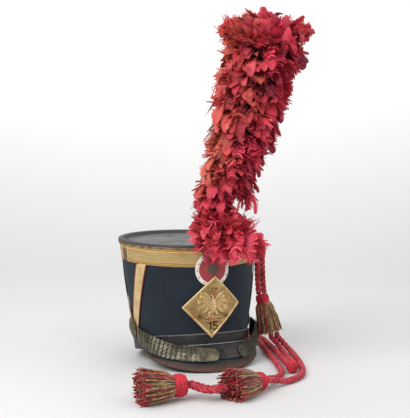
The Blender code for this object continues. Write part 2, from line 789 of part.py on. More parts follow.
def plume_place(share):
    """The middle of the plume at a share of its height, and its half width there."""
    for one, two in zip(PLUME_TABLE, PLUME_TABLE[1:]):
        if one[0] <= share <= two[0]:
            part = (share - one[0]) / (two[0] - one[0])
            aside = one[1] + (two[1] - one[1]) * part
            width = one[2] + (two[2] - one[2]) * part
            break
    heading = PLUME_LEAN_HEADING
    lean = Vector((math.cos(heading), math.sin(heading), 0)) * PLUME_LEAN * aside
    forward = PLUME_FORWARD - PLUME_BACKWARD * share
    front = Vector((math.sin(heading), -math.cos(heading), 0)) * forward
    foot = Vector((0, -TOP_RADIUS, PLUME_FOOT + PLUME_HEIGHT * share))
    return foot + lean + front, PLUME_WIDTH / 2 * width


def plume_lock(share, turn, reach):
    """One lock of feathers: a flat leaf that grows out of the core and droops, or stands at the top."""
    place, half = plume_place(share)
    out = Vector((math.cos(turn), math.sin(turn), 0))
    side = Vector((-math.sin(turn), math.cos(turn), 0))
    droop = LOCK_DROOP * min(1, (1 - share) / LOCK_STANDING - 1)
    start = half * CORE_SHARE * 0.5
    root = place + out * start + Vector((0, 0, (half - start) * droop))
    tip = place + out * half * reach
    belly = root.lerp(tip, 0.55) + (out + Vector((0, 0, 1))) * LOCK_THICKNESS * 0.45
    sections = []
    for middle, width, thick in ((root, 0.55, 1.0), (belly, 1.0, 0.9), (tip, 0.25, 0.25)):
        wide = side * LOCK_WIDTH / 2 * width
        deep = side.cross(tip - root).normalized() * LOCK_THICKNESS / 2 * thick
        sections.append([middle + wide, middle + deep, middle - wide, middle - deep])
    return sections


def plume_stem(foot, top):
    """The stem: upright in its socket, then bent forward into the middle of the plume."""
    joint = plume_place(STEM_JOINT)[0]
    over = top + Vector((0, 0, STEM_DIAMETER / 2))
    sections = []
    for point in (foot + Vector((0, 0, 2 * GAP)), over, over.lerp(joint, 0.5), joint):
        section = []
        for i in range(STEM_SIDES):
            turn = 2 * math.pi * i / STEM_SIDES
            section.append(point + Vector((math.cos(turn), math.sin(turn), 0)) * STEM_DIAMETER / 2)
        sections.append(section)
    return loft(sections)


def plume():
    """The feather plume: a core with locks of feathers fused to it, and a stem in its socket."""
    sections = []
    for i in range(CORE_ROWS + 1):
        share = 0.03 + 0.95 * i / CORE_ROWS
        place, half = plume_place(share)
        radius = half * CORE_SHARE
        section = []
        for j in range(CORE_SIDES):
            turn = 2 * math.pi * j / CORE_SIDES
            section.append(place + Vector((math.cos(turn), math.sin(turn), 0)) * radius)
        sections.append(section)
    core = tool_object(loft(sections))
    locks = bmesh.new()
    draw = random.Random(LOCK_SEED)

    def uneven():
        return draw.uniform(-LOCK_UNEVEN, LOCK_UNEVEN)

    for row in range(LOCK_ROWS):
        share = LOWEST_LOCKS + (HIGHEST_LOCKS - LOWEST_LOCKS) * row / (LOCK_ROWS - 1)
        for i in range(LOCKS_PER_ROW):
            turn = 2 * math.pi * (i + 0.5 * (row % 2) + uneven()) / LOCKS_PER_ROW
            at = share + uneven() * 0.9 / LOCK_ROWS
            lock = loft(plume_lock(min(max(at, 0), 1), turn, 1 + uneven() * 0.4))
            faces_outwards(lock)
            mesh = bpy.data.meshes.new("lock")
            lock.to_mesh(mesh)
            lock.free()
            locks.from_mesh(mesh)
            bpy.data.meshes.remove(mesh)
    feathers = bpy.data.objects.new("feathers", bpy.data.meshes.new("feathers"))
    locks.to_mesh(feathers.data)
    locks.free()
    bpy.context.scene.collection.objects.link(feathers)
    modifier = core.modifiers.new("locks", "BOOLEAN")
    modifier.operation = "UNION"
    modifier.use_self = True
    modifier.object = feathers
    graph = bpy.context.evaluated_depsgraph_get()
    joined = bpy.data.meshes.new_from_object(core.evaluated_get(graph))
    core.modifiers.clear()
    core.data = joined
    bpy.data.objects.remove(feathers)
    out = 2 * GAP + LACE + COCKADE_THICKNESS + GAP
    envelope = []
    for rise in (0.0, 1.0):
        ring = []
        for angle in around():
            up = wall_length(angle) * rise + (CROWN_LEATHER + GAP if rise else 0)
            ring.append(wall(angle, up, out))
        envelope.append(ring)
    boolean(core, tool_object(loft(envelope)), "DIFFERENCE")
    foot, top = socket_ends()
    room = STEM_DIAMETER / 2 + GAP + SOCKET_WALL + GAP
    axis = Vector((0, 0, 1))
    profile = ((room, -0.03), (room, SOCKET_LENGTH + GAP))
    boolean(core, tool_object(turned(profile, foot, axis, 16)), "DIFFERENCE")
    boolean(core, tool_object(plume_stem(foot, top)), "UNION")
    bm = bmesh.new()
    bm.from_mesh(core.data)
    bpy.data.objects.remove(core)
    loose_parts_out(bm)
    bmesh.ops.triangulate(bm, faces=bm.faces[:])
    mesh_object("plume", bm, (0.45, 0.02, 0.02), 0.8, smooth=50)


def loose_parts_out(bm):
    """Keep the largest closed part of a mesh."""
    left = set(bm.verts)
    parts = []
    while left:
        stack = [left.pop()]
        part = set(stack)
        while stack:
            vert = stack.pop()
            for edge in vert.link_edges:
                other = edge.other_vert(vert)
                if other in left:
                    left.discard(other)
                    part.add(other)
                    stack.append(other)
        parts.append(part)
    parts.sort(key=len)
    for part in parts[:-1]:
        bmesh.ops.delete(bm, geom=list(part), context="VERTS")


def socket_ends():
    """The foot and top of the plume's socket, in front of the cockade's upper part."""
    out = 2 * GAP + LACE + COCKADE_THICKNESS + GAP
    radius = STEM_DIAMETER / 2 + GAP + SOCKET_WALL
    foot = wall(0, wall_length(0) - SOCKET_LENGTH, out)
    top = wall(0, wall_length(0), out)
    y = min(foot.y, top.y) - radius
    return Vector((0, y, foot.z)), Vector((0, y, foot.z + SOCKET_LENGTH))


def plume_socket():
    """The small tube that holds the plume's stem, with a floor."""
    foot, top = socket_ends()
    outer = STEM_DIAMETER / 2 + GAP + SOCKET_WALL
    inner = STEM_DIAMETER / 2 + GAP
    sides = 16
    bm = turned(((outer, 0), (outer, SOCKET_LENGTH)), foot, (0, 0, 1), sides)
    tube = tool_object(bm)
    bore = turned(((inner, GAP), (inner, SOCKET_LENGTH * 1.5)), foot, (0, 0, 1), sides)
    boolean(tube, tool_object(bore), "DIFFERENCE")
    bm = bmesh.new()
    bm.from_mesh(tube.data)
    bpy.data.objects.remove(tube)
    mesh_object("plume_socket", bm, (0.40, 0.30, 0.12), 0.4, 0.9)


def facing(angle, up, out):
    """The direction square to the wall at a point."""
    place = wall(angle, up, out)
    rise = (wall(angle, up + WALL, out) - place).normalized()
    way = outward(angle)
    return (way - rise * way.dot(rise)).normalized()


def hook_seat(angle_degrees):
    """Where a hook stands on the galon, and the direction of its peg."""
    angle = math.radians(angle_degrees)
    up = wall_length(angle) - HOOK_DOWN
    out = 2 * GAP + LACE
    return wall(angle, up, out), facing(angle, up, out)


def cord_hook(name, angle_degrees):
    """A round plate on the galon with a peg, which the cords' head is pushed over."""
    radius = HOOK_DIAMETER / 2
    profile = (
        (HOOK_PLATE_DIAMETER / 2, 0),
        (HOOK_PLATE_DIAMETER / 2, HOOK_PLATE_THICKNESS),
        (radius, HOOK_PLATE_THICKNESS),
        (radius, HOOK_LENGTH),
    )
    place, heading = hook_seat(angle_degrees)
    bm = turned(profile, place, heading, 12)
    mesh_object(f"cord_hook_{name}", bm, (0.45, 0.34, 0.15), 0.4, 0.9)


def barrel(radius, length):
    """The profile of a wrapped knot."""
    return (
        (radius * 0.70, 0),
        (radius * 0.94, length * 0.15),
        (radius, length * 0.5),
        (radius * 0.94, length * 0.85),
        (radius * 0.70, length),
    )


def cord_head(name, angle_degrees):
    """The wrapped head of a pair of cords, with a blind eye for the hook's peg."""
    starts = [Vector(route[0]) for cord_name, route in CORD_ROUTES.items() if name in cord_name]
    starts = [start for start in starts if start.z > TOP_HEIGHT / 2]
    place, heading = hook_seat(angle_degrees)
    low = (starts[0] + starts[1]) / 2 + Vector((0, 0, GAP))
    low += outward(math.radians(angle_degrees)) * HEAD_OUTWARD
    length = place.z + HEAD_ABOVE_PEG - low.z
    head = tool_object(turned(barrel(HEAD_DIAMETER / 2, length), low, (0, 0, 1), 14))
    eye = ((HOOK_DIAMETER / 2 + GAP, -GAP), (HOOK_DIAMETER / 2 + GAP, HOOK_LENGTH + GAP))
    boolean(head, tool_object(turned(eye, place, heading, 12)), "DIFFERENCE")
    bm = bmesh.new()
    bm.from_mesh(head.data)
    bpy.data.objects.remove(head)
    mesh_object(f"cord_head_{name}", bm, (0.45, 0.02, 0.03), 0.8)


def knot(name, place, heading, radius, length):
    heading = Vector(heading).normalized()
    bm = turned(barrel(radius, length), Vector(place) - heading * length / 2, heading, 14)
    mesh_object(name, bm, (0.45, 0.02, 0.03), 0.8)


def fringe(name, place, heading, radius, length, reach, end_radius):
    """A tassel's skirt of ridged strands, flattened where it lies on the table."""
    heading = Vector(heading).normalized()
    start = Vector(place) + heading * (length / 2 + GAP)
    profile = (
        (radius * 0.78, 0),
        (radius * 1.02, reach * 0.12),
        (radius * 0.4 + end_radius * 0.6, reach * 0.50),
        (end_radius, reach * 0.92),
        (end_radius * 0.93, reach),
    )

    def ridges(i, along):
        return 1 - 0.12 * (i % 2) * min(along / reach * 2, 1)

    bm = turned(profile, start, heading, FRINGE_RIDGES * 2, ridges)
    for vert in bm.verts:
        vert.co.z = max(vert.co.z, GAP)
    mesh_object(name, bm, (0.30, 0.17, 0.06), 0.8, smooth=20)


def smooth_route(points):
    """Points along a smooth curve through a route, a few diameters apart."""
    points = [Vector(point) for point in points]
    fine = []
    steps = 12
    for i in range(len(points) - 1):
        p0 = points[max(i - 1, 0)]
        p1 = points[i]
        p2 = points[i + 1]
        p3 = points[min(i + 2, len(points) - 1)]
        for step in range(steps):
            t = step / steps
            part = 2 * p1 + (p2 - p0) * t + (2 * p0 - 5 * p1 + 4 * p2 - p3) * t**2
            fine.append((part + (3 * p1 - p0 - 3 * p2 + p3) * t**3) / 2)
    fine.append(points[-1])
    total = sum((b - a).length for a, b in zip(fine, fine[1:]))
    count = max(round(total / (CORD_SPACING * CORD_DIAMETER)), CORD_FEWEST)
    spaced = [fine[0]]
    gone = 0.0
    for one, two in zip(fine, fine[1:]):
        step = (two - one).length
        while len(spaced) < count and gone + step >= total * len(spaced) / count:
            reach = total * len(spaced) / count - gone
            spaced.append(one.lerp(two, reach / step))
        gone += step
    spaced.append(fine[-1])
    return spaced


def cord(name, route):
    """A twisted cord as a plain tube along its route."""
    curve = bpy.data.curves.new(name, "CURVE")
    curve.dimensions = "3D"
    curve.bevel_depth = CORD_DIAMETER / 2
    curve.bevel_resolution = 2
    curve.use_fill_caps = True
    spline = curve.splines.new("POLY")
    points = smooth_route(route)
    spline.points.add(len(points) - 1)
    for place, point in zip(spline.points, points):
        place.co = (*point, 1)
    obj = bpy.data.objects.new(name, curve)
    bpy.context.scene.collection.objects.link(obj)
    finish(obj, (0.45, 0.02, 0.03), 0.8)


def centre_on_box():
    """Move everything so that the origin lies under the middle of the hat without its cords."""
    bpy.context.view_layer.update()
    corners = []
    for obj in bpy.context.scene.objects:
        if obj.type == "MESH" and not obj.name.startswith(("tassel", "fringe", "cord_head", "corner")):
            corners += [vert.co for vert in obj.data.vertices]
    low = Vector([min(co[i] for co in corners) for i in range(3)])
    high = Vector([max(co[i] for co in corners) for i in range(3)])
    shift = Vector(((low.x + high.x) / 2, (low.y + high.y) / 2, low.z))
    for obj in bpy.context.scene.objects:
        obj.location = -shift


def main():
    for obj in list(bpy.data.objects):
        bpy.data.objects.remove(obj, do_unlink=True)
    body_shell()
    crown_top()
    galon()
    chevron("chevron_left", math.radians(90))
    chevron("chevron_right", math.radians(-90))
    base_band()
    peak()
    rosette("rosette_left", math.radians(90))
    rosette("rosette_right", math.radians(-90))
    chinscales("chinscales_left", LEFT_STRAP)
    chinscales("chinscales_right", RIGHT_STRAP)
    strap_tongue()
    cockade()
    plate()
    plume_socket()
    plume()
    for name, angle in HOOKS.items():
        cord_hook(name, angle)
        cord_head(name, angle)
    for name, (place, heading, radius, length, reach, end_radius) in TASSELS.items():
        knot(f"{name}_knot", place, heading, radius, length)
        fringe(f"{name}_fringe", place, heading, radius, length, reach, end_radius)
    knot("corner_knot", *CORNER_KNOT)
    for name, route in CORD_ROUTES.items():
        cord(name, route)
    centre_on_box()


main()
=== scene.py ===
"""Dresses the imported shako: cloth, gold lace, old leather, brass, a feather plume and red cords.

It is laid out as an add-on and run as a script. Sizes are metres in the frame's own axes: +Z up, the
hat's front looks along -Y and the wearer's left is +X. Angles run from the front towards +X.
"""

import random
from math import atan2, cos, hypot, pi, radians, sin, sqrt, tan

import bpy
import numpy as np
from bpy.props import FloatProperty, FloatVectorProperty, IntProperty, PointerProperty
from mathutils import Matrix, Vector, noise


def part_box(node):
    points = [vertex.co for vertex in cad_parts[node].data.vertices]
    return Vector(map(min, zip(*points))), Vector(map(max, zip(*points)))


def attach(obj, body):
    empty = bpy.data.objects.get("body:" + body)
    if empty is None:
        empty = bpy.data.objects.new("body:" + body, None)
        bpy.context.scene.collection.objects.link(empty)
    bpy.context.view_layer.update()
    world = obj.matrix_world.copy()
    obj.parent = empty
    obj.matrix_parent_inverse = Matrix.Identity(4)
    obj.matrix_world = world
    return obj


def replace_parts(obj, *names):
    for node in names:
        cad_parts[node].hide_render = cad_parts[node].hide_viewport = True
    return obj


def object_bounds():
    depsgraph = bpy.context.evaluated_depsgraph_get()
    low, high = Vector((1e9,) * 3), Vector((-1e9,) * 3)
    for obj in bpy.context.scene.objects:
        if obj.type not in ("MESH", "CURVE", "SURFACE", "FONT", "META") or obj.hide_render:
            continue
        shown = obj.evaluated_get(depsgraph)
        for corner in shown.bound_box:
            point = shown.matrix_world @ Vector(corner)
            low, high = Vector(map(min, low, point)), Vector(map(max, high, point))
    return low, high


bl_info = {
    "name": "Plumed shako",
    "version": (1, 0, 0),
    "blender": (4, 5, 0),
    "location": "3D View > Sidebar > Shako",
    "description": "Dresses the packed shako in cloth, lace, leather, brass and feathers",
    "category": "Object",
}

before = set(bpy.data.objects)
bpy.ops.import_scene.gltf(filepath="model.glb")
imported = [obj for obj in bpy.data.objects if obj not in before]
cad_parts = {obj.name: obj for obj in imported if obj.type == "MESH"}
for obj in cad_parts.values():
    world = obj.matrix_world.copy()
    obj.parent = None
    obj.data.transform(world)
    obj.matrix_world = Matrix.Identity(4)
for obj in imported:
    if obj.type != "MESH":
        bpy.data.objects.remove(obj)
CAD_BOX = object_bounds()

# the body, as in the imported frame
TOP_RADIUS = 0.12
TOP_HEIGHT = 0.2059
TOP_TILT = radians(1.46)
BASE_HALF_WIDTH = 0.0964
BASE_HALF_LENGTH = 0.1001
BASE_FORWARD = 0.0191
BASE_TILT = radians(10.3)
WALL = 0.003
GAP = 0.0003
LACE = 0.0012
GALON_LOWER_EDGE = 0.0348
GALON_HEIGHT = 0.0278
CROWN_LEATHER = 0.0022
CROWN_TURN_DOWN = 0.007
CROWN_SINK = 0.0045
CROWN_RIM_WIDTH = 0.0065
CHEVRON_WIDTH = 0.024
CHEVRON_SPREAD = 0.058
CHEVRON_SLOPE = 0.411
PIPING = 0.0022
BAND_HEIGHT = 0.0225
BAND_LEATHER = 0.0022
PEAK_RUN = 0.03
PEAK_LEATHER = 0.0024
PEAK_HALF_ANGLE = radians(72)
PEAK_CROWNING = 0.0015
PEAK_SIDE_FALL = 2.2
PEAK_SIDE_EASE = 0.8
PEAK_EDGE_RISE = 1.8
ROSETTE_DIAMETER = 0.035
ROSETTE_THICKNESS = 0.006
ROSETTE_UP = 0.038
STRAP_OVER_PEAK = 0.0016
STRAP_CROWNING = 0.0012
COCKADE_DIAMETER = 0.058
COCKADE_THICKNESS = 0.002
COCKADE_DOWN = 0.0385
PLATE_HEIGHT = 0.105
PLATE_THICKNESS = 0.0012
PLATE_BORDER = 0.0035
PLATE_FOOT = 0.0125
DIGIT_HEIGHT = 0.0125
DIGIT_PEN = 0.0021
DIGIT_FOOT = -0.355 * PLATE_HEIGHT
PLATE_CORNERS = ((0.051, 0.0055), (0.003, 0.0525), (-0.051, 0.0024), (-0.0025, -0.0525))
CORD_DIAMETER = 0.0092
CORD_STEP = 0.0021
FLOOR_CLEARANCE = 0.0002
HAIR = 0.00022
TUBE_ROUND = 0.029
GOLDEN_TURN = 2.399963
AROUND = 192

crown_low, crown_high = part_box("crown_top")
# the middle of the crown, which all places below are measured from
AXIS = Vector((
    (crown_low.x + crown_high.x) / 2,
    (crown_low.y + crown_high.y) / 2,
    (GAP + BAND_LEATHER) * tan(BASE_TILT),
))

# the camera, about the middle of the crown
CAMERA_PLACE = (-0.5061, -1.4124, 0.35)
CAMERA_TURN = radians(-20.9)
CAMERA_DIP = radians(3.57)
CAMERA_LENS = 73.15
SENSOR_HEIGHT = 36.0

# angle, then upper and lower edge above the seam of the peak, and how far the strap stands off
RIGHT_STRAP = (
    (-79, 0.0415, 0.0065, 0.0),
    (-70, 0.033, -0.001, 0.0),
    (-60, 0.0242, -0.0115, 0.0),
    (-50, 0.0155, -0.019, 0.0),
    (-40, 0.008, -0.025, 0.0),
    (-30, 0.0015, -0.0295, 0.0),
    (-20, -0.0045, -0.032, 0.0),
    (-10, -0.0092, -0.0335, 0.0),
    (-1, -0.0102, -0.0335, 0.0),
    (2, -0.0145, -0.0292, 0.0),
)
LEFT_STRAP = (
    (79, 0.042, 0.012, 0.002),
    (71, 0.034, 0.003, 0.008),
    (62, 0.025, -0.008, 0.009),
    (53, 0.014, -0.016, 0.007),
    (44, 0.004, -0.022, 0.005),
    (36, -0.004, -0.027, 0.003),
    (28, -0.009, -0.031, 0.001),
    (24, -0.011, -0.033, 0.0),
    (20, -0.015, -0.03, 0.0),
)

# the plume: share of the height, sideways share of the lean, share of the width
PLUME_HEIGHT = 0.398
PLUME_WIDTH = 0.134
PLUME_LEAN = 0.083
PLUME_HEADING = radians(-20.9)
PLUME_FOOT = 0.178
PLUME_FORWARD = 0.028
PLUME_BACKWARD = 0.02
PLUME_OVER_TOP = 0.012
PLUME_TIERS = ((0.36, "plume_low"), (0.68, "plume_middle"), (9.9, "plume_top"))
PLUME_TABLE = (
    (0.0, 0.36, 0.5),
    (0.09, 0.24, 0.86),
    (0.17, 0.16, 0.72),
    (0.23, 0.03, 0.45),
    (0.26, 0.02, 0.42),
    (0.34, 0.28, 0.63),
    (0.42, 0.45, 0.71),
    (0.49, 0.54, 0.8),
    (0.57, 0.67, 0.82),
    (0.66, 0.74, 0.91),
    (0.74, 0.81, 0.88),
    (0.82, 0.98, 1.02),
    (0.9, 1.01, 1.06),
    (0.94, 1.03, 1.0),
    (1.0, 1.0, 0.5),
)

# sprays that stand out: share of the height, turn from the right, reach, lean, how many
PLUME_SPRAYS = (
    (0.06, 0, 1.2, -38, 12),
    (0.262, 0, 1.62, -58, 9),
    (0.245, 4, 1.84, -70, 8),
    (0.214, 3, 1.46, -78, 8),
    (0.285, 6, 1.72, -50, 8),
    (0.945, 0, 1.16, 22, 16),
    (0.91, 8, 1.14, 5, 10),
    (0.955, 180, 1.22, 30, 22),
    (0.915, 175, 1.1, 12, 14),
)

# place of the knot, heading of the fringe, knot radius and length, fringe length and end radius
TASSELS = {
    "tassel_1": ((0.13, -0.036, 0.0943), (0.206, -0.08, -0.975), 0.0125, 0.0145, 0.0541, 0.0225),
    "tassel_2": ((0.0135, -0.2773, 0.0152), (-0.9, -0.43, 0.06), 0.0145, 0.015, 0.0575, 0.0275),
    "tassel_3": ((-0.1123, -0.2741, 0.0206), (-0.998, -0.06, 0.04), 0.0172, 0.02, 0.0505, 0.0285),
}
CORNER_KNOT = ((0.1087, -0.1967, 0.0105), (-0.36, -0.933, 0.0), 0.0102, 0.016)

# the cords' routes about the middle of the crown, in tenths of a millimetre
ROUTE_UNIT = 0.0001
CORD_ROUTES = {
    "cord_left_outer": (
        (1284, -378, 1742), (1286, -379, 1600), (1296, -377, 1350), (1313, -372, 1150),
        (1330, -367, 1034),
    ),
    "cord_left_inner": (
        (1192, -352, 1742), (1194, -352, 1600), (1204, -350, 1350), (1222, -345, 1130),
        (1239, -341, 1012),
    ),
    "cord_right_outer": (
        (1535, -440, 342), (1560, -455, 255), (1610, -505, 190), (1655, -610, 110), (1665, -740, 62),
        (1640, -900, 49), (1585, -1080, 48), (1520, -1300, 48), (1430, -1580, 48), (1335, -1830, 48),
        (1215, -2100, 48), (1050, -2340, 48), (840, -2500, 50), (640, -2590, 65), (480, -2650, 105),
        (339, -2728, 138), (231, -2780, 147),
    ),
    "cord_right_inner": (
        (1431, -411, 318), (1458, -425, 235), (1500, -470, 180), (1535, -560, 110), (1540, -680, 62),
        (1505, -830, 49), (1440, -1050, 48), (1375, -1280, 50), (1310, -1520, 65), (1209, -1789, 102),
        (1166, -1901, 105),
    ),
    "cord_rear_inner": (
        (1128, 703, 1775), (1129, 704, 1500), (1130, 706, 1100), (1133, 710, 700), (1150, 718, 380),
        (1210, 722, 160), (1330, 680, 60), (1430, 570, 48), (1490, 410, 48), (1475, 150, 48),
        (1365, -277, 48), (1224, -805, 48), (1080, -1380, 48), (945, -1830, 48), (860, -2050, 48),
        (740, -2240, 50), (590, -2390, 65), (440, -2520, 105), (297, -2640, 138), (189, -2692, 147),
    ),
    "cord_rear_outer": (
        (1074, 783, 1775), (1075, 784, 1500), (1076, 786, 1100), (1080, 792, 700), (1100, 815, 380),
        (1170, 860, 160), (1300, 865, 60), (1445, 790, 48), (1570, 670, 48), (1630, 500, 48),
        (1630, 300, 48), (1585, 50, 48), (1500, -330, 48), (1395, -780, 48), (1300, -1150, 50),
        (1205, -1500, 65), (1117, -1753, 102), (1074, -1865, 105),
    ),
    "cord_front_rear": (
        (-530, -2947, 195), (-610, -2965, 178), (-705, -2920, 165), (-795, -2800, 175),
        (-884, -2700, 195), (-983, -2685, 201),
    ),
    "cord_front_near": (
        (-487, -3037, 195), (-612, -3066, 178), (-772, -2997, 165), (-866, -2872, 175),
        (-930, -2793, 195), (-992, -2783, 201),
    ),
}


def base_point(angle, out):
    """The point of the base rim at an angle, moved outwards in the rim's own plane."""
    x = (BASE_HALF_WIDTH + out) * sin(angle)
    y = -BASE_FORWARD - (BASE_HALF_LENGTH + out) * cos(angle)
    rear = BASE_HALF_LENGTH - BASE_FORWARD
    return Vector((x, y, (rear - y) * tan(BASE_TILT))) + AXIS


def top_point(angle, out):
    """The point of the crown's edge at an angle, moved outwards in the crown's plane."""
    x = (TOP_RADIUS + out) * sin(angle)
    y = -(TOP_RADIUS + out) * cos(angle)
    return Vector((x, y, TOP_HEIGHT + y * tan(TOP_TILT))) + AXIS


def wall_length(angle):
    return (top_point(angle, 0) - base_point(angle, 0)).length


def wall(angle, up, out):
    """A point on the wall: how far up from the base rim, and how far out of the cloth."""
    return base_point(angle, out).lerp(top_point(angle, out), up / wall_length(angle))


def outward(angle):
    return Vector((sin(angle), -cos(angle), 0))


def facing(angle, up, out):
    """The direction square to the wall at a point."""
    rise = (wall(angle, up + WALL, out) - wall(angle, up, out)).normalized()
    way = outward(angle)
    return (way - rise * way.dot(rise)).normalized()


def face_point(aside, up, out):
    """A point over the front: aside towards the wearer's left, up from the base rim."""
    share = up / wall_length(0)
    radius = (BASE_HALF_WIDTH + BASE_HALF_LENGTH) / 2 * (1 - share) + TOP_RADIUS * share
    return wall(aside / radius, up, out)


def peak_seam(angle, rise):
    return wall(angle, rise, 2 * GAP + BAND_LEATHER)


def peak_edge(angle):
    """The lower corner of the peak's outer edge."""
    share = min(abs(angle) / PEAK_HALF_ANGLE, 1)
    run = PEAK_RUN * (1 - share**PEAK_SIDE_FALL) ** PEAK_SIDE_EASE
    point = base_point(angle, 2 * GAP + BAND_LEATHER + run)
    side = base_point(PEAK_HALF_ANGLE, 0).z - AXIS.z
    point.z = side * share**PEAK_EDGE_RISE + AXIS.z
    return point


def peak_normal(angle):
    slope = (peak_edge(angle) - peak_seam(angle, 0)).normalized()
    up = outward(angle)
    return (up - slope * up.dot(slope)).normalized()


def peak_crowning(angle):
    return PEAK_CROWNING * (peak_edge(angle) - peak_seam(angle, 0)).length / PEAK_RUN


def leather_point(angle, above, lift):
    """A point over the leather: above the seam it is over the band, below it over the peak."""
    if above >= 0:
        lip = PEAK_LEATHER * 1.5 if abs(angle) < PEAK_HALF_ANGLE else 0
        return wall(angle, max(above, lip), BAND_LEATHER + 0.0015 + lift)
    seam = peak_seam(angle, PEAK_LEATHER * 1.1)
    edge = peak_edge(angle) + peak_normal(angle) * PEAK_LEATHER
    down = (edge - seam).normalized()
    clear = peak_crowning(angle) + STRAP_OVER_PEAK + lift
    return seam + down * -above + peak_normal(angle) * clear


def deselect():
    bpy.ops.object.select_all(action="DESELECT")


def choose(obj):
    """Select one object alone, and make it the active one."""
    deselect()
    obj.select_set(True)
    bpy.context.view_layer.objects.active = obj


def modify(obj, kind, **settings):
    """Add a modifier with its settings and apply it."""
    choose(obj)
    modifier = obj.modifiers.new(kind, kind)
    for name, value in settings.items():
        setattr(modifier, name, value)
    bpy.ops.object.modifier_apply(modifier=modifier.name)


def edit(obj, action, **settings):
    """Select the whole of an object in edit mode and act on it."""
    choose(obj)
    bpy.ops.object.mode_set(mode="EDIT")
    bpy.ops.mesh.select_all(action="SELECT")
    action(**settings)
    bpy.ops.object.mode_set(mode="OBJECT")


def merge(obj, distance=0.00001):
    edit(obj, bpy.ops.mesh.remove_doubles, threshold=distance)


def turn_out(obj):
    edit(obj, bpy.ops.mesh.normals_make_consistent, inside=False)


def close(obj):
    """Fill the open ends of a piece."""
    edit(obj, bpy.ops.mesh.fill_holes, sides=0)


def smooth(obj, angle):
    choose(obj)
    bpy.ops.object.shade_smooth_by_angle(angle=radians(angle))


def join(objects, name):
    deselect()
    for obj in objects:
        obj.select_set(True)
    bpy.context.view_layer.objects.active = objects[0]
    if len(objects) > 1:
        bpy.ops.object.join()
    obj = bpy.context.object
    obj.name = name
    return obj


def row_at(rows, share):
    return rows[round(share * (len(rows) - 1))]


def seal(obj, ends=False):
    """Join a grid's seam, fill its ends where asked, and turn its faces outwards."""
    merge(obj)
    if ends:
        close(obj)
    turn_out(obj)


def grid(name, columns, rows, place, stretch=(1, 1)):
    """A grid primitive laid over a surface, where place(u, v) gives each point."""
    deselect()
    bpy.ops.mesh.primitive_grid_add(x_subdivisions=columns, y_subdivisions=rows, size=2)
    obj = bpy.context.object
    obj.name = name
    for vert in obj.data.vertices:
        vert.co = place((vert.co.x + 1) / 2, (vert.co.y + 1) / 2)
    for loop in obj.data.uv_layers[0].data:
        loop.uv = (loop.uv[0] * stretch[0], loop.uv[1] * stretch[1])
    return obj


def hoop(name, rows, columns=AROUND, ripple=None):
    """A closed ring round the body through rows of (up or down the wall, out)."""
    rows = list(rows) + [rows[0]]

    def place(u, v):
        angle = 2 * pi * u
        up, out = row_at(rows, v)
        if ripple:
            up, out = ripple(angle, up, out)
        return wall(angle, up if up >= 0 else wall_length(angle) + up, out)

    obj = grid(name, columns, len(rows) - 1, place)
    seal(obj)
    return obj


def mark(obj, name, value):
    """Give each vertex a value of its own in an attribute."""
    layer = obj.data.attributes.new(name, "FLOAT", "POINT").data
    for vert in obj.data.vertices:
        layer[vert.index].value = value(vert)


def round_noise(angle, size, third):
    """Noise that closes on itself round a ring."""
    return noise.noise(Vector((cos(angle) * size, sin(angle) * size, third)))


def dress(obj, angle, material, slot, *replaced):
    """Smooth a finished piece up to an angle, and give it its material and place in the frame; the slot
    argument is not used.
    """
    if angle:
        smooth(obj, angle)
    obj.data.materials.clear()
    obj.data.materials.append(material)
    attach(obj, "root")
    if replaced:
        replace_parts(obj, *replaced)


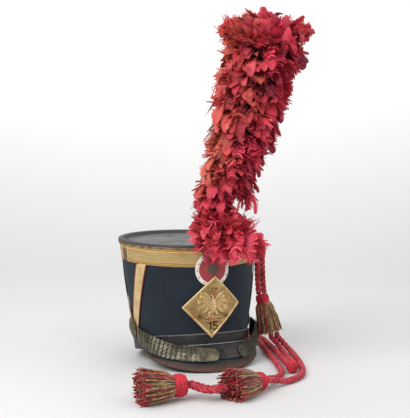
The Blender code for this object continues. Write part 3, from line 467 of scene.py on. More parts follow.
class Shader:
    """A material being built: a Principled surface and the nodes that feed it."""

    def __init__(self, name, **settings):
        self.material = bpy.data.materials.new(name)
        self.material.use_nodes = True
        self.nodes = self.material.node_tree.nodes
        self.links = self.material.node_tree.links
        self.surface = self.nodes["Principled BSDF"]
        for socket, value in settings.items():
            self.surface.inputs[socket.replace("_", " ")].default_value = value

    def add(self, kind, settings=(), **inputs):
        """A node with properties, and inputs that are values or other nodes' sockets."""
        node = self.nodes.new(f"ShaderNode{kind}")
        for name, value in dict(settings).items():
            setattr(node, name, value)
        for name, value in inputs.items():
            self.put(node.inputs[name], value)
        return node

    def attribute(self, name, output="Fac"):
        return self.add("Attribute", {"attribute_name": name}).outputs[output]

    def put(self, socket, value):
        if isinstance(value, bpy.types.NodeSocket):
            self.links.new(value, socket)
        else:
            socket.default_value = value

    def coords(self, kind="Object"):
        return self.add("TexCoord").outputs[kind]

    def noise(self, scale, detail=4.0, roughness=0.55, distortion=0.0, vector=None):
        vector = vector or self.coords()
        node = self.add("TexNoise", Vector=vector, Scale=scale, Detail=detail, Roughness=roughness,
                        Distortion=distortion)
        return node.outputs["Fac"]

    def math(self, operation, one, two=0.0):
        node = self.add("Math", {"operation": operation})
        self.put(node.inputs[0], one)
        self.put(node.inputs[1], two)
        return node.outputs[0]

    def times(self, one, two):
        return self.math("MULTIPLY", one, two)

    def wave(self, value, period):
        return self.math("SINE", self.times(value, 2 * pi / period))

    def distance(self, value, middle):
        return self.math("ABSOLUTE", self.minus(value, middle))

    def plus(self, one, two):
        return self.math("ADD", one, two)

    def minus(self, one, two):
        return self.math("SUBTRACT", one, two)

    def ramp(self, factor, *stops, kind="LINEAR"):
        """A colour ramp through (position, colour) stops."""
        node = self.add("ValToRGB", Fac=factor)
        band = node.color_ramp
        band.interpolation = kind
        while len(band.elements) < len(stops):
            band.elements.new(1.0)
        for element, (position, colour) in zip(band.elements, stops):
            element.position = position
            element.color = (*colour, 1) if len(colour) == 3 else colour
        return node.outputs["Color"]

    def step(self, factor, low, high):
        """A mask that rises from 0 to 1 between two values."""
        limits = {"From Min": low, "From Max": high}
        return self.add("MapRange", Value=factor, **limits).outputs["Result"]

    def mix(self, factor, one, two, share=None):
        """One colour under another, by a factor that may be cut down to a share."""
        node = self.add("Mix", {"data_type": "RGBA"})
        self.put(node.inputs[0], factor if share is None else self.times(factor, share))
        for index, value in ((6, one), (7, two)):
            if isinstance(value, tuple):
                value = (*value, 1)
            self.put(node.inputs[index], value)
        return node.outputs[2]

    def group(self, tree, scale):
        """A shared effect, over the object's own coordinates."""
        return self.add("Group", {"node_tree": tree}, Vector=self.coords(), Scale=scale).outputs

    def spots(self, low, high, *settings):
        """A mask where noise is high."""
        return self.step(self.noise(*settings), low, high)

    def uv(self):
        return self.split(self.coords("UV"))

    def split(self, vector):
        return self.add("SeparateXYZ", Vector=vector).outputs

    def bump(self, height, strength, distance, normal=None):
        node = self.add("Bump", Height=height, Strength=strength, Distance=distance)
        if normal:
            self.links.new(normal, node.inputs["Normal"])
        self.feed("Normal", node.outputs[0])
        return node.outputs[0]

    def feed(self, name, socket):
        self.links.new(socket, self.surface.inputs[name])

    def roughen(self, base, mask, share):
        self.feed("Roughness", self.plus(base, self.times(mask, share)))

    def finish(self, colour, height, strength, distance, normal=None):
        """Feed the colour and the bump, and hand over the material."""
        self.feed("Base Color", colour)
        self.bump(height, strength, distance, normal)
        return self.material


class GroupShader(Shader):
    """A shared effect: a node group with named inputs and outputs."""

    def __init__(self, name, inputs, outputs):
        self.tree = bpy.data.node_groups.new(name, "ShaderNodeTree")
        self.nodes = self.tree.nodes
        self.links = self.tree.links
        for label, kind, value in inputs:
            socket = self.tree.interface.new_socket(label, in_out="INPUT", socket_type=kind)
            if value is not None:
                socket.default_value = value
        for label, kind in outputs:
            self.tree.interface.new_socket(label, in_out="OUTPUT", socket_type=kind)
        self.taken = self.nodes.new("NodeGroupInput").outputs
        self.given = self.nodes.new("NodeGroupOutput").inputs

    def give(self, name, socket):
        self.links.new(socket, self.given[name])


def old_leather_group():
    """Cracks and dust on old leather: a mask of cracks, a mask of worn spots and a height."""
    effect = GroupShader(
        "old leather",
        (("Scale", "NodeSocketFloat", 1.0), ("Vector", "NodeSocketVector", None)),
        (("Cracks", "NodeSocketFloat"), ("Wear", "NodeSocketFloat"), ("Height", "NodeSocketFloat")),
    )
    scaled = effect.add("VectorMath", {"operation": "SCALE"}, Vector=effect.taken["Vector"])
    effect.links.new(effect.taken["Scale"], scaled.inputs["Scale"])
    place = scaled.outputs[0]
    warp = effect.add("TexNoise", Vector=place, Scale=60.0, Detail=3.0).outputs["Color"]
    bent = effect.add("VectorMath", {"operation": "MULTIPLY_ADD"})
    for index, value in enumerate((warp, (0.006, 0.006, 0.006), place)):
        effect.put(bent.inputs[index], value)
    cells = effect.add("TexVoronoi", {"feature": "DISTANCE_TO_EDGE"}, Vector=bent.outputs[0])
    cells.inputs["Scale"].default_value = 260.0
    cracks = effect.minus(1.0, effect.step(cells.outputs["Distance"], 0.0, 0.09))
    patches = effect.step(effect.noise(34, 5, 0.6, vector=place), 0.5, 0.66)
    worn = effect.step(effect.noise(90, 6, 0.7, vector=place), 0.52, 0.72)
    effect.give("Cracks", effect.times(cracks, patches))
    effect.give("Wear", effect.times(worn, patches))
    grain = effect.noise(1400, 2, vector=place)
    height = effect.minus(effect.times(grain, 0.25), effect.times(cracks, 0.6))
    effect.give("Height", height)
    return effect.tree


def tarnish_group():
    """Tarnish on brass: a mask that gathers in spots and streaks."""
    effect = GroupShader(
        "tarnish",
        (("Vector", "NodeSocketVector", None), ("Scale", "NodeSocketFloat", 60.0)),
        (("Mask", "NodeSocketFloat"), ("Fine", "NodeSocketFloat")),
    )
    wide = effect.noise(effect.taken["Scale"], 6.0, 0.65, 0.4, effect.taken["Vector"])
    effect.give("Mask", effect.step(wide, 0.4, 0.62))
    effect.give("Fine", effect.noise(900, 3, 0.6, vector=effect.taken["Vector"]))
    return effect.tree


def toned(colour, factor, more=0.0):
    """A colour made darker or lighter."""
    return tuple(value * factor + more for value in colour)


def cloth_material(look, name):
    shader = Shader(name, Roughness=0.95, Sheen_Weight=0.06, Sheen_Roughness=0.6,
                    Sheen_Tint=(0.35, 0.42, 0.52, 1))
    broad = shader.noise(14, 5)
    base = tuple(look.cloth)
    dusty = toned(base, 1.55, 0.003)
    tone = shader.mix(shader.step(broad, 0.35, 0.7), base, dusty)
    lint = shader.spots(0.72, 0.78, 520, 2)
    fibre = shader.noise(2200, 3)
    tone = shader.mix(lint, tone, (0.11, 0.12, 0.14), 0.35)
    return shader.finish(tone, fibre, 0.35, 0.0004, shader.bump(broad, 0.25, 0.0025))


def lace_material(look, name):
    """Woven gold lace: the piece's UV runs along and across it in metres."""
    shader = Shader(name, Roughness=0.5, Metallic=0.35)
    along, across, _ = shader.uv()
    herring = shader.distance(shader.math("PINGPONG", across, 0.0021), 0.00105)
    slant = shader.plus(along, shader.times(herring, 2.0))
    ribs = shader.wave(slant, 0.0013)
    threads = shader.wave(across, 0.0007)
    weave = shader.times(shader.plus(ribs, 1.0), 0.5)
    gold = tuple(look.lace)
    pale = (0.92, 0.7, 0.38)
    rust = (gold[0] * 1.1, gold[1] * 1.05, gold[2] * 1.4)
    body = (gold[0] * 1.5, gold[1] * 1.72, gold[2] * 2.4)
    tone = shader.ramp(shader.noise(42, 6, 0.7), (0.3, rust), (0.46, body), (0.66, pale))
    tone = shader.mix(weave, shader.mix(0.35, tone, rust), tone, 0.3)
    fine = shader.spots(0.3, 0.52, 330, 4, 0.7)
    tone = shader.mix(fine, shader.mix(0.35, tone, (0.16, 0.09, 0.05)), tone)
    side = shader.distance(across, CHEVRON_WIDTH / 2)
    edge = shader.step(side, CHEVRON_WIDTH / 2 - PIPING - 0.0003, CHEVRON_WIDTH / 2 - PIPING)
    tone = shader.mix(edge, tone, (0.16, 0.012, 0.012))
    shader.feed("Metallic", shader.times(shader.minus(1.0, edge), 0.35))
    shader.roughen(0.42, fine, 0.16)
    height = shader.plus(weave, shader.times(threads, 0.3))
    return shader.finish(tone, height, 0.55, 0.0005)


def leather_material(look, name, base, grey):
    """Old varnished leather with cracks and greyed wear."""
    shader = Shader(name, Roughness=0.42)
    effect = shader.group(look["old leather"], 1.0)
    tone = shader.mix(shader.spots(0.36, 0.66, 11, 6, 0.6), base, grey)
    tone = shader.mix(effect["Wear"], tone, toned(grey, 2.1, 0.02), 0.75)
    tone = shader.mix(effect["Cracks"], tone, (0.006, 0.005, 0.005), 0.8)
    shader.roughen(0.42, effect["Wear"], 0.3)
    return shader.finish(tone, effect["Height"], 0.5, 0.0007)


def brass_material(look, name, bright, dull, rough):
    shader = Shader(name, Metallic=0.9, Roughness=rough)
    effect = shader.group(look["tarnish"], 60.0)
    tone = shader.mix(effect["Mask"], bright, dull)
    pits = shader.step(effect["Fine"], 0.6, 0.72)
    shader.roughen(rough, effect["Mask"], 0.22)
    tone = shader.mix(pits, tone, (0.06, 0.045, 0.02), 0.35)
    return shader.finish(tone, effect["Fine"], 0.18, 0.0003)


def cord_material(look, name):
    """Red wool with a few gold threads and painted shade in the creases between strands: UV runs across a
    strand and along it.
    """
    shader = Shader(name, Roughness=0.75, Sheen_Weight=0.04, Sheen_Roughness=0.5,
                    Sheen_Tint=(1.0, 0.45, 0.42, 1))
    red = tuple(look.cord)
    dark = toned(red, 0.42)
    light = (min(red[0] * 1.5, 1), red[1] * 4.5 + 0.03, red[2] * 3.2 + 0.03)
    tone = shader.ramp(shader.noise(150, 5, 0.75), (0.3, dark), (0.46, red), (0.68, light))
    broad = shader.noise(62, 3, 0.6)
    tone = shader.mix(shader.step(broad, 0.53, 0.64), tone, light, 0.5)
    tone = shader.mix(shader.step(broad, 0.47, 0.36), tone, dark, 0.6)
    across, along, _ = shader.uv()
    ply = shader.wave(shader.plus(across, along), 0.0016)
    turn = shader.times(across, 3 * pi / TUBE_ROUND)
    wound = shader.minus(turn, shader.times(along, 3 * pi / look.cord_pitch))
    # painted shade in the creases between the twisted strands, on the same phase as the lobes
    painted_crease_shade = shader.step(shader.math("ABSOLUTE", shader.math("COSINE", wound)), 0.55, 0.05)
    tone = shader.mix(shader.step(ply, -0.2, -1.0), tone, dark, 0.25)
    tone = shader.mix(painted_crease_shade, tone, toned(red, 0.12), 0.85)
    flecks = shader.times(shader.step(ply, 0.55, 0.8), shader.spots(0.6, 0.66, 240, 2))
    return shader.finish(shader.mix(flecks, tone, (0.62, 0.3, 0.12), 0.55), ply, 0.4, 0.0004)


def strand_material(look, name):
    """Fringe strands: each has its own share of brown-gold or red in an attribute."""
    shader = Shader(name, Roughness=0.55, Sheen_Weight=0.15)
    kind = shader.attribute("kind")
    gold = shader.ramp(shader.noise(160, 4, 0.7), (0.34, (0.085, 0.045, 0.016)),
                       (0.5, tuple(look.bullion)), (0.7, (0.52, 0.36, 0.155)))
    red = shader.ramp(shader.noise(120, 3), (0.34, (0.13, 0.006, 0.008)), (0.66, tuple(look.cord)))
    across, along, _ = shader.uv()
    twist = shader.math("SINE", shader.times(shader.plus(across, along), 60.0))
    return shader.finish(shader.mix(shader.step(kind, 0.45, 0.55), gold, red), twist, 0.5, 0.0003)


def feather_material(look, name):
    """Dyed feathers: a tone for each with painted light and shade, painted shade towards the quill's root,
    and fine barbs that part at the edges.
    """
    shader = Shader(name, Roughness=0.55, Sheen_Weight=0.12, Sheen_Roughness=0.4,
                    Sheen_Tint=(1.0, 0.45, 0.4, 1))
    tone = shader.attribute("tone", "Color")
    shade, warm_tone_and_painted_light, painted_depth_shade = shader.add("SeparateColor", Color=tone).outputs[:3]
    red = tuple(look.feathers)
    wine = (red[0] * 0.3, red[1] * 0.3, red[2] * 0.55)
    bright = (min(red[0] * 1.5, 1), red[1] * 2.6 + 0.02, red[2] * 1.9 + 0.02)
    # first channel: each feather's brightness, a random tone with painted light on bulges, the standing top
    # and the ball
    colour = shader.ramp(shade, (0.0, wine), (0.42, red), (1.0, bright))
    # second channel: an orange tint that is painted key light on feathers facing the camera's left, mixed
    # with random warm patches
    colour = shader.mix(warm_tone_and_painted_light, colour, (0.66, 0.15, 0.075), 0.8)
    across, along, _ = shader.uv()
    aside = shader.math("ABSOLUTE", across)
    # painted shade towards each feather's root, where the feathers over it cover it
    root = shader.step(along, 0.55, 0.05)
    colour = shader.mix(root, colour, (0.06, 0.002, 0.008), 0.75)
    slant = shader.minus(along, shader.times(aside, 0.45))
    barbs = shader.wave(slant, 1 / 17)
    colour = shader.mix(shader.step(barbs, 0.2, 1.0), colour, wine, 0.3)
    quill = shader.step(aside, 0.07, 0.02)
    colour = shader.mix(quill, colour, bright, 0.35)
    # third channel: painted shade, near black on feathers deep in the layers and in the plume's dips
    colour = shader.mix(painted_depth_shade, colour, (0.03, 0.001, 0.005))
    parted = shader.times(shader.step(aside, 0.5, 0.92), shader.step(barbs, -0.3, 0.4))
    shader.feed("Alpha", shader.minus(1.0, shader.step(parted, 0.35, 0.65)))
    return shader.finish(colour, barbs, 0.35, 0.0004)


def cockade_material(look, name):
    """Painted leather in rings: UV x is the share of the radius, UV y the share of the turn."""
    shader = Shader(name, Roughness=0.6)
    radius, turn, _ = shader.uv()
    wobble = shader.plus(radius, shader.times(shader.noise(120, 3), 0.03))
    rings = shader.ramp(wobble, (0.0, (0.085, 0.06, 0.05)), (0.33, (0.36, 0.025, 0.038)),
                        (0.8, (0.84, 0.78, 0.69)), kind="CONSTANT")
    dirt = shader.spots(0.42, 0.72, 70, 6, 0.7)
    tone = shader.mix(dirt, rings, (0.23, 0.15, 0.1), 0.3)
    cracks = shader.wave(turn, 1 / 70)
    tone = shader.mix(shader.step(cracks, 0.75, 1.0), tone, (0.12, 0.07, 0.05), 0.18)
    return shader.finish(tone, shader.noise(700, 3), 0.3, 0.0004)


def blend_rows(table, at):
    """The row of a table at a value of its first column, between its two neighbours."""
    rows = sorted(table)
    at = min(max(at, rows[0][0]), rows[-1][0])
    for one, two in zip(rows, rows[1:]):
        if one[0] <= at <= two[0]:
            share = (at - one[0]) / (two[0] - one[0])
            return [a + (b - a) * share for a, b in zip(one, two)]
    return list(rows[-1])


def ring_lathe(name, profile, place, heading, sides, ripple=None):
    """A turned piece: rows of (radius, distance along), with v along the profile."""
    heading = Vector(heading).normalized()
    side = heading.orthogonal().normalized()
    over = heading.cross(side)

    def point(u, v):
        turn = 2 * pi * u
        radius, along = row_at(profile, v)
        if ripple:
            radius, along = ripple(turn, radius, along)
        return Vector(place) + heading * along + (side * cos(turn) + over * sin(turn)) * radius

    obj = grid(name, sides, len(profile) - 1, point)
    seal(obj)
    return obj


def from_arrays(name, points, faces, uvs, attributes=None):
    """A mesh of many small parts, with per-point UVs and attributes."""
    mesh = bpy.data.meshes.new(name)
    mesh.from_pydata(points.tolist(), [], faces.tolist())
    layer = mesh.uv_layers.new(name="UVMap")
    layer.data.foreach_set("uv", uvs[faces.ravel()].astype(np.float32).ravel())
    for label, values in (attributes or {}).items():
        kind = "FLOAT" if values.ndim == 1 else "FLOAT_COLOR"
        attribute = mesh.attributes.new(label, kind, "POINT")
        key = "value" if kind == "FLOAT" else "color"
        attribute.data.foreach_set(key, values.astype(np.float32).ravel())
    obj = bpy.data.objects.new(name, mesh)
    bpy.context.scene.collection.objects.link(obj)
    return obj


def travelled(path):
    """How far along a path each of its points is."""
    return np.concatenate(([0.0], np.cumsum(np.linalg.norm(np.diff(path, axis=0), axis=1))))


def sweep(path, radii, sides, lobes=0, depth=0.0, pitch=0.03, rounding=0.0):
    """Points, quads and UVs of a tube along a path; lobes wind round it like strands."""
    path = np.asarray(path, dtype=float)
    radii = np.broadcast_to(np.asarray(radii, dtype=float), len(path)).copy()
    along = np.gradient(path, axis=0)
    along /= np.linalg.norm(along, axis=1)[:, None]
    start = np.array((0.0, 0.0, 1.0)) if abs(along[0][2]) < 0.9 else np.array((1.0, 0.0, 0.0))
    side = np.cross(along[0], start)
    side /= np.linalg.norm(side)
    sides_way = [side]
    for way in along[1:]:
        side = side - way * side.dot(way)
        side = side / np.linalg.norm(side)
        sides_way.append(side)
    side = np.array(sides_way)
    over = np.cross(along, side)
    gone = travelled(path)
    turn = 2 * np.pi * np.arange(sides) / sides
    wave = np.ones((len(path), sides))
    if lobes:
        phase = lobes * (turn[None, :] - 2 * np.pi * gone[:, None] / pitch) / 2
        wave = 1 - depth * (1 - np.abs(np.cos(phase)))
    if rounding:
        end = np.minimum(gone, gone[-1] - gone)
        radii = radii * np.sqrt(np.clip(1 - (1 - np.clip(end / rounding, 0, 1)) ** 2, 0.04, 1))
    spoke = side[:, None, :] * np.cos(turn)[None, :, None] + over[:, None, :] * np.sin(turn)[None, :, None]
    ring = path[:, None, :] + spoke * (radii[:, None] * wave)[:, :, None]
    points = np.concatenate((ring.reshape(-1, 3), path[:1], path[-1:]))
    rows = len(path)
    i, j = np.meshgrid(np.arange(rows - 1), np.arange(sides), indexing="ij")
    k = (j + 1) % sides
    a, b, c, d = (i * sides + j), (i * sides + k), ((i + 1) * sides + k), ((i + 1) * sides + j)
    one = np.stack((a, b, c), axis=-1).reshape(-1, 3)
    two = np.stack((a, c, d), axis=-1).reshape(-1, 3)
    j = np.arange(sides)
    k = (j + 1) % sides
    low = np.stack((np.full(sides, rows * sides), k, j), axis=-1)
    last = (rows - 1) * sides
    high = np.stack((np.full(sides, rows * sides + 1), last + j, last + k), axis=-1)
    faces = np.concatenate((one, two, low, high))
    uv = np.stack(np.broadcast_arrays(turn[None, :] / (2 * np.pi) * TUBE_ROUND, gone[:, None]), axis=-1)
    uv = np.concatenate((uv.reshape(-1, 2), [[0, gone[0]], [0, gone[-1]]]))
    return points, faces, uv


def pile(parts):
    """Several (points, faces, UVs) as one."""
    points, faces, uvs, start = [], [], [], 0
    for one, two, three in parts:
        points.append(one)
        faces.append(two + start)
        uvs.append(three)
        start += len(one)
    return np.concatenate(points), np.concatenate(faces), np.concatenate(uvs)


def fine_route(route):
    """Points along a smooth curve through a route, evenly spaced."""
    points = [Vector([value * ROUTE_UNIT for value in point]) + AXIS for point in route]
    fine = []
    for i in range(len(points) - 1):
        p0, p1, p2 = points[max(i - 1, 0)], points[i], points[i + 1]
        p3 = points[min(i + 2, len(points) - 1)]
        for step in range(24):
            t = step / 24
            part = 2 * p1 + (p2 - p0) * t + (2 * p0 - 5 * p1 + 4 * p2 - p3) * t**2
            fine.append((part + (3 * p1 - p0 - 3 * p2 + p3) * t**3) / 2)
    fine.append(points[-1])
    fine = np.array(fine)
    gone = travelled(fine)
    even = np.linspace(0, gone[-1], max(int(gone[-1] / CORD_STEP), 8))
    return np.stack([np.interp(even, gone, fine[:, k]) for k in range(3)], axis=1)


def body_cloth(look):
    """The tapering wall of cloth over felt."""
    top = -(CROWN_LEATHER + GAP)
    low = wall_length(0)
    ups = [0.0] + [low * share for share in (0.03, 0.12, 0.25, 0.4, 0.55, 0.7)]

    def uneven(angle, up, out):
        if out < 0 or up <= 0:
            return up, out
        return up, out - 0.0011 * max(round_noise(angle, 2.2, up * 14) + 0.15, 0) * min(1, up / 0.02)

    rows = [(up, 0.0) for up in ups] + [(-0.04, 0.0), (top, 0.0), (top, -WALL)]
    rows += [(up, -WALL) for up in reversed(ups)]
    obj = hoop("body_cloth", rows, ripple=uneven)
    dress(obj, 40, look["cloth"], "cloth", "body_shell")


def crown_leather(look):
    """The crown's worn leather: a sunken disc with dents, a raised rim and a turned-down edge."""
    inner = -WALL - GAP
    disc = inner - CROWN_LEATHER
    rows = [(disc - CROWN_RIM_WIDTH * 0.6, -CROWN_SINK, i / 14) for i in range(15)]
    rows += [
        (disc - CROWN_RIM_WIDTH * 0.42, -CROWN_SINK * 0.55, 1),
        (disc - CROWN_RIM_WIDTH * 0.2, 0.0004, 1),
        (disc * 0.6, 0.0012, 1),
        (0.0, 0.0011, 1),
        (CROWN_LEATHER * 0.7, 0.0002, 1),
        (CROWN_LEATHER, -0.0012, 1),
        (CROWN_LEATHER + GAP, -0.002, 1),
        (CROWN_LEATHER - 0.0005, -0.0028, 1),
        (CROWN_LEATHER - 0.0002, -0.0034, 1),
        (CROWN_LEATHER, -CROWN_TURN_DOWN, 1),
        (GAP, -CROWN_TURN_DOWN, 1),
        (GAP, -CROWN_LEATHER, 1),
        (inner, -CROWN_LEATHER, 1),
        (inner, -CROWN_SINK - CROWN_LEATHER, 1),
    ]
    rows += [(inner, -CROWN_SINK - CROWN_LEATHER, 1 - i / 4) for i in range(1, 5)]
    middle = (wall(0, wall_length(0), 0) + wall(pi, wall_length(pi), 0)) / 2

    def place(u, v):
        angle = 2 * pi * u
        out, rise, spread = row_at(rows, v)
        point = wall(angle, wall_length(angle) + rise, out)
        centre = middle + Vector((0, 0, rise))
        point = centre.lerp(point, spread)
        if rise == -CROWN_SINK and spread < 1:
            point.z += 0.0016 * noise.noise(point * 26) * (1 - spread**6)
        return point

    obj = grid("crown_leather", AROUND, len(rows) - 1, place)

    def part(vert):
        row = vert.index // (AROUND + 1)
        out, rise, spread = rows[row]
        flat = spread if row < 15 else 1.0
        return 2.0 if out > 0.001 and rise < -0.003 else flat

    mark(obj, "part", part)
    seal(obj)
    dress(obj, 40, look["crown leather"], "crown_leather", "crown_top")


def crown_stitches(look):
    """The brown edge under the crown: a zigzag of thick dashes of thread."""
    parts = []
    count = 118
    for i in range(count * 2):
        angle = 2 * pi * (i + 0.5) / (count * 2)
        lean = 0.011 * (1 if i % 2 else -1)
        ends = []
        for side in (-1, 0, 1):
            at = angle + lean * side
            lift = 0.0003 if side == 0 else -0.0001
            ends.append(wall(at, wall_length(at) - 0.0051 + 0.0011 * side, CROWN_LEATHER + lift))
        parts.append(sweep(ends, 0.00042, 6, rounding=0.0006))
    dress(from_arrays("crown_stitches", *pile(parts)), 60, look["dark thread"], "crown_leather")


def galon_lace(look):
    """The wide gold lace round the top, with raised borders, a worn edge and a frayed join."""
    face = GAP + LACE
    profile = (
        (0.0, 0.0), (0.0, 0.0009), (0.0006, LACE), (0.002, LACE), (0.0026, 0.0007), (0.0031, 0.0007),
        (0.0036, 0.0011), (0.005, 0.0011), (0.0056, 0.0008), (0.009, 0.00085), (0.014, 0.0009),
        (0.019, 0.00085), (0.0238, 0.0008), (0.0244, 0.0011), (0.0262, 0.0011), (0.0268, 0.0008),
        (0.0272, 0.001), (GALON_HEIGHT, 0.001), (GALON_HEIGHT, 0.0),
    )
    rows = [(-GALON_LOWER_EDGE + rise, GAP + out) for rise, out in profile]

    def worn(angle, up, out):
        if out > GAP and up < -GALON_LOWER_EDGE + 0.0012:
            up += 0.0006 * max(round_noise(angle, 31, 0) + 0.3, 0)
        swell = round_noise(angle, 12, up * 60)
        return up, min(out + 0.0002 * swell * (out > GAP), face)

    obj = hoop("galon_lace", rows, columns=480, ripple=worn)
    layer = obj.data.uv_layers[0].data
    for loop in obj.data.loops:
        point = obj.data.vertices[loop.vertex_index].co - AXIS
        turn = atan2(point.x, -point.y)
        down = TOP_HEIGHT + point.y * tan(TOP_TILT) - point.z
        layer[loop.index].uv = (turn * TOP_RADIUS, GALON_LOWER_EDGE - down)
    dress(obj, 50, look["galon lace"], "gold_lace", "galon")


def chevron(look, name, side_angle, replaced):
    """A V of gold lace with dark red piping, its point behind the rosette."""
    low = BAND_HEIGHT + GAP
    top = wall_length(side_angle) - GALON_LOWER_EDGE - GAP
    radius = (TOP_RADIUS + BASE_HALF_LENGTH) / 2
    half = CHEVRON_WIDTH / 2 * sqrt(1 + CHEVRON_SLOPE**2)
    outer_top = CHEVRON_SPREAD + half
    inner_top = CHEVRON_SPREAD - half
    outer_low = max(outer_top - (top - low) * CHEVRON_SLOPE, half)
    point = top - inner_top / CHEVRON_SLOPE
    steps = 30
    edges = []
    for i in range(steps + 1):
        share = i / steps
        outer = (outer_top + (outer_low - outer_top) * share, top + (low - top) * share)
        inner = (inner_top * (1 - share), top + (point - top) * share)
        edges.append((outer, inner))
    edges.append(((0, low), (0, point)))
    edges += [((-outer[0], outer[1]), (-inner[0], inner[1])) for outer, inner in edges[-2::-1]]

    def place(u, v):
        outer, inner = row_at(edges, u)
        aside, up = Vector(outer).lerp(Vector(inner), v)
        angle = side_angle + aside / radius
        limit = wall_length(angle) - GALON_LOWER_EDGE - GAP
        side = min(v, 1 - v) * CHEVRON_WIDTH
        raised = LACE if side < 0.0018 else LACE * 0.72
        return wall(angle, min(up, limit) if up < top else limit, GAP + raised)

    obj = grid(name, len(edges) - 1, 14, place, (0.34, CHEVRON_WIDTH))
    modify(obj, "SOLIDIFY", thickness=LACE * 0.7, offset=-1)
    turn_out(obj)
    dress(obj, 60, look["chevron lace"], "gold_lace", replaced)


def base_band(look):
    """The leather band round the base, with its rolled and worn upper edging."""
    face = GAP + BAND_LEATHER
    edge = BAND_HEIGHT - 0.0033
    rows = [
        (0.0, GAP), (0.0, face - 0.0006), (0.0006, face), (edge - 0.009, face - 0.0002),
        (edge - 0.0004, face), (edge - 0.0001, face - 0.0004), (edge + 0.0004, face + 0.0006),
        (edge + 0.0012, face + 0.0009),
        (BAND_HEIGHT - 0.0009, face + 0.0009), (BAND_HEIGHT - 0.0002, face + 0.0003), (BAND_HEIGHT, GAP),
    ]

    def dented(angle, up, out):
        return up, out - 0.0004 * max(round_noise(angle, 7, up * 80), 0) * (out > face - 0.0001)

    obj = hoop("band_leather", rows, ripple=dented)

    def worn(vert):
        point = vert.co - AXIS
        low = base_point(atan2(point.x, -point.y), face).z
        return 1.0 if vert.co.z - low > edge * cos(0.1) else 0.0

    mark(obj, "worn", worn)
    dress(obj, 40, look["band leather"], "black_leather", "base_band")


def rounded(point):
    return tuple(round(value, 6) for value in point)


def peak(look):
    """The leather peak, crowned, with a rolled edge; a seam thread runs where it is sewn on."""
    last = PEAK_HALF_ANGLE * 0.985
    rows = 20

    def section(angle):
        up = peak_normal(angle)
        seam, edge = peak_seam(angle, 0), peak_edge(angle)
        crown = peak_crowning(angle)
        line = []
        for i in range(rows + 1):
            share = i / rows
            thick = PEAK_LEATHER * (1.08 - 0.28 * share)
            if i == rows:
                thick *= 0.72
            rise = crown * 4 * share * (1 - share) + thick
            uneven = 0.0005 * noise.noise(Vector((angle * 5, share * 4, 1.0)))
            line.append(seam.lerp(edge, share) + up * (rise - abs(uneven)))
        line[0] = peak_seam(angle, PEAK_LEATHER * 1.1)
        line.append(edge + up * PEAK_LEATHER * 0.2 - (edge - seam).normalized() * 0.0001)
        for share in (1.0, 0.66, 0.33, 0.0):
            line.append(seam.lerp(edge, share) + up * crown * 4 * share * (1 - share))
        return line

    columns = 110
    sections = [section(-last + 2 * last * i / columns) for i in range(columns + 1)]
    count = len(sections[0])

    def place(u, v):
        return sections[round(u * columns)][round(v * count) % count]

    obj = grid("peak_leather", columns, count, place)
    merge(obj, 0.000005)
    known = {rounded(point): j for line in sections for j, point in enumerate(line)}
    mark(obj, "worn", lambda vert: min(known.get(rounded(vert.co), 0) / rows, 1.0))
    close(obj)
    turn_out(obj)
    dress(obj, 50, look["peak leather"], "black_leather", "peak")
    path = []
    for i in range(180):
        angle = -last * 0.985 + 2 * last * 0.985 * i / 179
        path.append(peak_seam(angle, PEAK_LEATHER * 1.1 + 0.0008) + outward(angle) * 0.0005)
    tube = sweep(path, 0.00075, 8, lobes=2, depth=0.3, pitch=0.004, rounding=0.001)
    dress(from_arrays("peak_seam", *tube), 60, look["seam thread"], "black_leather")


def rosette(look, name, side_angle, replaced):
    """A brass rosette of turned rings with a petalled rim."""
    out = GAP + BAND_LEATHER + 0.0009 + GAP
    place = wall(side_angle, ROSETTE_UP, out)
    radius, depth = ROSETTE_DIAMETER / 2, ROSETTE_THICKNESS
    shape = (
        (0.0, 0.0), (0.94, 0.0), (0.99, 0.1), (1.0, 0.2), (0.96, 0.36), (0.9, 0.42), (0.84, 0.37),
        (0.78, 0.34), (0.73, 0.37), (0.7, 0.5), (0.655, 0.6), (0.6, 0.6), (0.56, 0.56), (0.53, 0.64),
        (0.47, 0.8), (0.4, 0.86), (0.33, 0.86), (0.28, 0.83), (0.22, 0.92), (0.12, 0.99), (0.0, 1.0),
    )

    def petals(turn, reach, along):
        share = reach / radius
        if 0.78 < share < 0.99:
            along -= depth * 0.1 * (1 - abs(cos(turn * 11)))
        return reach, along

    profile = [(radius * reach, depth * rise) for reach, rise in shape]
    obj = ring_lathe(name, profile, place, facing(side_angle, ROSETTE_UP, out), 88, petals)
    dress(obj, 45, look["old brass"], "old_brass", replaced)


def strap_frame(table, angle):
    """Upper and lower corner of a strap at an angle, and the direction out of its face."""
    row = blend_rows(table, angle)
    turn = radians(angle)
    upper, lower = leather_point(turn, row[1], row[3]), leather_point(turn, row[2], row[3])
    across = (lower - upper).normalized()
    out = outward(turn)
    return upper, lower, (out - across * out.dot(across)).normalized()


def strap_point(table, angle, share, height):
    upper, lower, out = strap_frame(table, angle)
    crown = STRAP_CROWNING * (1 - (2 * share - 1) ** 2)
    return upper.lerp(lower, share) + out * (height + crown * min(height / 0.0012, 1))


